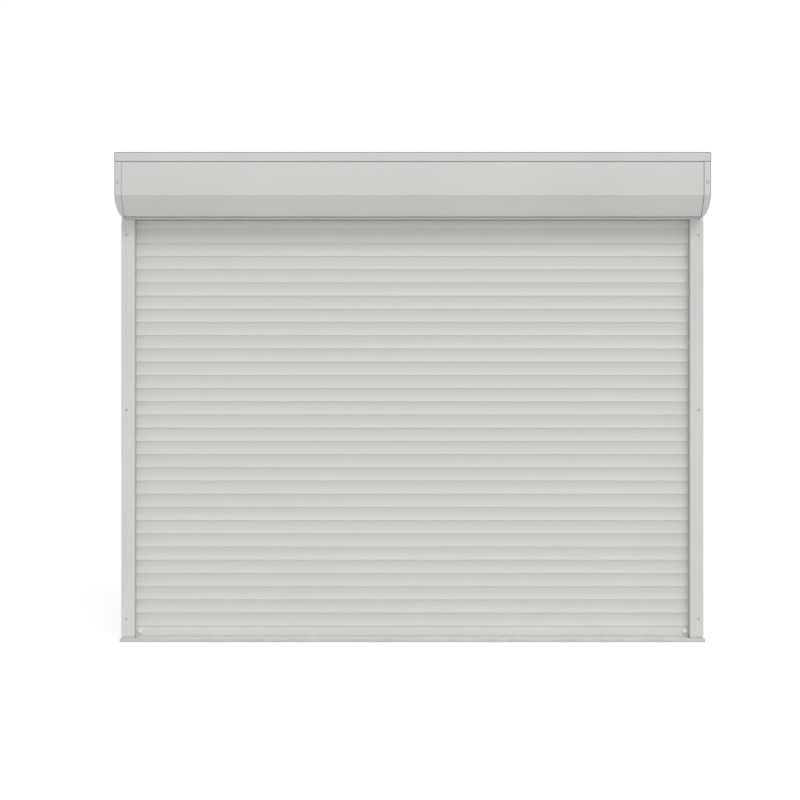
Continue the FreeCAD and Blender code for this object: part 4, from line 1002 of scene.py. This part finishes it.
# Casing front panel: one coated aluminium sheet, upright under the lid's lip, then folded back at
# 45 degrees and again level to take the bottom panel's screws. Its low corners follow the caps.
panel_front, panel_top, panel_knee = -0.3376, 2.788, knee + 0.0009
return_level, return_depth, bend_shift = 2.4544, 0.018, 0.0008
slope_bend = panel_front + panel_knee - return_level
front_corners = [
    (panel_front, panel_top, 0.0006),
    (panel_front, panel_knee, 0.004),
    (slope_bend, return_level, 0.004),
    (slope_bend + return_depth, return_level, 0.0006),
    (slope_bend + return_depth, return_level + sheet, 0.0006),
    (slope_bend + bend_shift, return_level + sheet, 0.002),
    (panel_front + sheet, panel_knee + bend_shift, 0.002),
    (panel_front + sheet, panel_top, 0.0006),
]
front_mesh = extruded("front_panel", [rounded(front_corners)], -panel_half, panel_half)
front_swept = swept_in(front_mesh, cap_wall + panel_play)
front_panel = fitted("front_sheet", front_swept, casing_coat)
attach(front_panel, "frame")
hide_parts("casing_front_panel")

# Casing shadow strips: black rubber strips under and behind the lid's lip, under the service
# flap's front edge, and round the rims of both end caps. They are painted shadow, dark strips
# laid in the shadow lines under the lip and the flap; at the rims they are a dark joint widened
# into painted shadow, the wider one at the right, where the shadow falls.
hem_shadow_front, hem_shadow_back, hem_shadow_bottom, hem_shadow_top = -0.3416, -0.3399, 2.7562, 2.7579
lip_hem_shadow_strip_corners = [
    (hem_shadow_front, hem_shadow_bottom, 0.0004),
    (hem_shadow_back, hem_shadow_bottom, 0.0004),
    (hem_shadow_back, hem_shadow_top, 0.0002),
    (hem_shadow_front, hem_shadow_top, 0.0002),
]
lip_shadow_strip_corners = boxed(hem_shadow_back, panel_front, hem_shadow_bottom, 2.7660, 0.0004)
flap_shadow_front, flap_shadow_back, flap_shadow_bottom, flap_shadow_top = slope_bend + 0.0004, -0.2225, 2.4496, 2.4521
flap_shadow_strip_corners = [
    (flap_shadow_front, flap_shadow_bottom, 0.0006),
    (flap_shadow_back, flap_shadow_bottom, 0.0004),
    (flap_shadow_back, flap_shadow_top, 0.0002),
    (flap_shadow_front, flap_shadow_top, 0.0004),
]
rim_top, rim_bottom, rim_proud, rim_foot = 2.757, 2.455, 0.0018, 0.0025
rim_end = slope_bend + return_level - rim_bottom
rim_shadow_strip_corners = [
    (panel_front, rim_top, 0),
    (panel_front, panel_knee, 0),
    (rim_end, rim_bottom, 0),
    (rim_end - rim_foot, rim_bottom, 0.0006),
    (panel_front - rim_proud, knee + 0.0002, 0.004),
    (panel_front - rim_proud, rim_top, 0.0006),
]
shadow_strip_half, hem_shadow_half = 1.654, cap_outer - 0.002
for name, corners, start, end in (
    ("lip_shadow_strip", lip_shadow_strip_corners, -shadow_strip_half, shadow_strip_half),
    ("flap_shadow_strip", flap_shadow_strip_corners, -shadow_strip_half, shadow_strip_half),
    ("lip_hem_shadow_strip", lip_hem_shadow_strip_corners, -hem_shadow_half, hem_shadow_half),
    ("right_rim_shadow_strip", rim_shadow_strip_corners, cap_edge - 0.0022, cap_edge),
    ("left_rim_shadow_strip", rim_shadow_strip_corners, -cap_edge, -cap_edge + 0.0012),
):
    strip = fitted(name, extruded(name, [rounded(corners)], start, end, ease=0.0002), rubber)
    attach(strip, "frame")

# Casing bottom panel: the service flap, a level sheet screwed to the front panel's return and
# turned up beside the curtain. Its coat is painted light, a lighter copy of the casing's coat
# on this downward-facing sheet, which lies in shade.
# Painted light: these tints are lighter than the casing's to lift the shade under the casing.
lightened_flap_coat = powder_coat("powder_coated_flap_painted_lighter", "D9D9D8", "DEDEDC")
flap_front, flap_back, flap_half = -0.2237, -0.024, 1.6615
flap_level, turned_up = 2.4522, 0.015
flap_corners = [
    (flap_front, flap_level, 0.0006),
    (flap_back, flap_level, 0.003),
    (flap_back, flap_level + turned_up, 0.0006),
    (flap_back - sheet, flap_level + turned_up, 0.0006),
    (flap_back - sheet, flap_level + sheet, 0.001),
    (flap_front, flap_level + sheet, 0.0006),
]
flap_mesh = extruded("bottom_panel", [rounded(flap_corners)], -flap_half, flap_half)
flap = fitted("service_flap", flap_mesh, lightened_flap_coat)
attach(flap, "frame")
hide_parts("casing_bottom_panel")

# Casing top cover: lid and front lip folded from one sheet over a generous radius, laid over the
# end caps and screwed down into their rims.
lid_front, lid_top, lip_bottom = -0.342, 2.810, 2.758
lid_corners = [
    (lid_front, lip_bottom, 0.0008),
    (lid_front + sheet, lip_bottom, 0.0008),
    (lid_front + sheet, lid_top - sheet, 0.010),
    (casing_back, lid_top - sheet, 0.0006),
    (casing_back, lid_top, 0.0006),
    (lid_front, lid_top, 0.012),
]
lid_mesh = extruded("top_cover", [rounded(lid_corners)], -cap_outer, cap_outer, ease=0.0008)
lid = fitted("lid_sheet", lid_mesh, casing_coat)
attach(lid, "frame")
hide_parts("casing_top_cover")

# Casing screws: zinc-plated pan heads with a cross recess through the sheets and rims, and
# hexagon bolts that hold the barrel's supports to the end caps.
# Zinc plate, clear passivated: bright and slightly blue, with soft handling blotches 4 mm wide.
zinc, tree, place = surface("zinc_plated_steel", "C9CBCE", 0.3, metallic=1.0)
handling = {"Vector": place, "Scale": 1 / 0.004, "Detail": 2}
blotch = add(tree, "ShaderNodeTexNoise", handling).outputs[0]
patterned(tree, (blotch, "BFC1C5", "D0D2D4"), (blotch, 0.25, 0.38), (blotch, 0.05, 0.0002))

head_profile = [
    (0, -0.0098),
    (0.0014, -0.0096),
    (0.0019, -0.0085),
    (0.0019, 0.00005),
    (0.0058, 0.00005),
    (0.0060, 0.0004),
    (0.0056, 0.0011),
    (0.0044, 0.0016),
    (0.0026, 0.0018),
    (0, 0.0018),
]
head = turned("screw", head_profile, (0, 0, 0), (0, 0, 1), 32)
blade = rounded(boxed(-0.0026, 0.0026, -0.0006, 0.0006, 0))
cross = []
for floor_depth, turn in ((0.0006, 0), (0.0007, 90)):
    cut = extruded("blade", [blade], floor_depth, 0.003, axis="z", ease=0.00005)
    cut.transform(Matrix.Rotation(math.radians(turn), 4, "Z"))
    cross.append(cut)
head = drilled(head, cross)
screw_side, floor_side, front_level = 1.6735, 1.6590, 2.640
return_screws = slope_bend + return_depth / 2
places = []
for sign in (-1, 1):
    places.append(((sign * screw_side, cap_front - 0.0002, front_level), (0, -1, 0)))
    for y in (-0.282, -0.054):
        places.append(((sign * screw_side, y, lid_top), (0, 0, 1)))
    for y in (return_screws, rail_front - 0.024):
        places.append(((sign * floor_side, y, casing_floor), (0, 0, -1)))
for x in screw_row:
    places.append(((x, return_screws, flap_level), (0, 0, -1)))
screws = []
for spot, way in places:
    screw = head.copy()
    turn = Vector(way).to_track_quat("Z", "Y").to_matrix().to_4x4()
    screw.transform(Matrix.Translation(spot) @ turn)
    screws.append(screw)
bolt_profile = [(0, -0.008), (0.0039, -0.008), (0.0039, 0), (0.0062, 0.0001), (0.0064, 0.0005)]
bolt_profile += [(0.0064, 0.0042), (0.0055, 0.0048), (0, 0.0050)]
bolt_seat, bolt_spread = 1.6835, 0.058
for sign in (-1, 1):
    for across in (-bolt_spread, bolt_spread):
        for up in (-bolt_spread, bolt_spread):
            spot = (sign * bolt_seat, barrel_y + across, barrel_z + up)
            screws.append(turned("bolt", bolt_profile, spot, (-sign, 0, 0), 6))
screw_set = fitted("screw_set", joined("screw_set", screws), zinc)
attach(screw_set, "frame")
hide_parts("casing_screws")

# Sealing washers: punched rings of black rubber under the heads of the two front screws, which
# face the rain. The screws hold them.
washer_profile = [(0.0021, 0), (0.0078, 0), (0.0078, 0.0004), (0.0060, 0.0008), (0.0021, 0.0008)]
washer_profile += [(0.0021, 0)]
for side, sign in (("right", 1), ("left", -1)):
    name = side + "_sealing_washer"
    spot = (sign * screw_side, cap_front - 0.0001, front_level)
    washer = fitted(name, turned(name, washer_profile, spot, (0, -1, 0), 32), rubber)
    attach(washer, "frame")
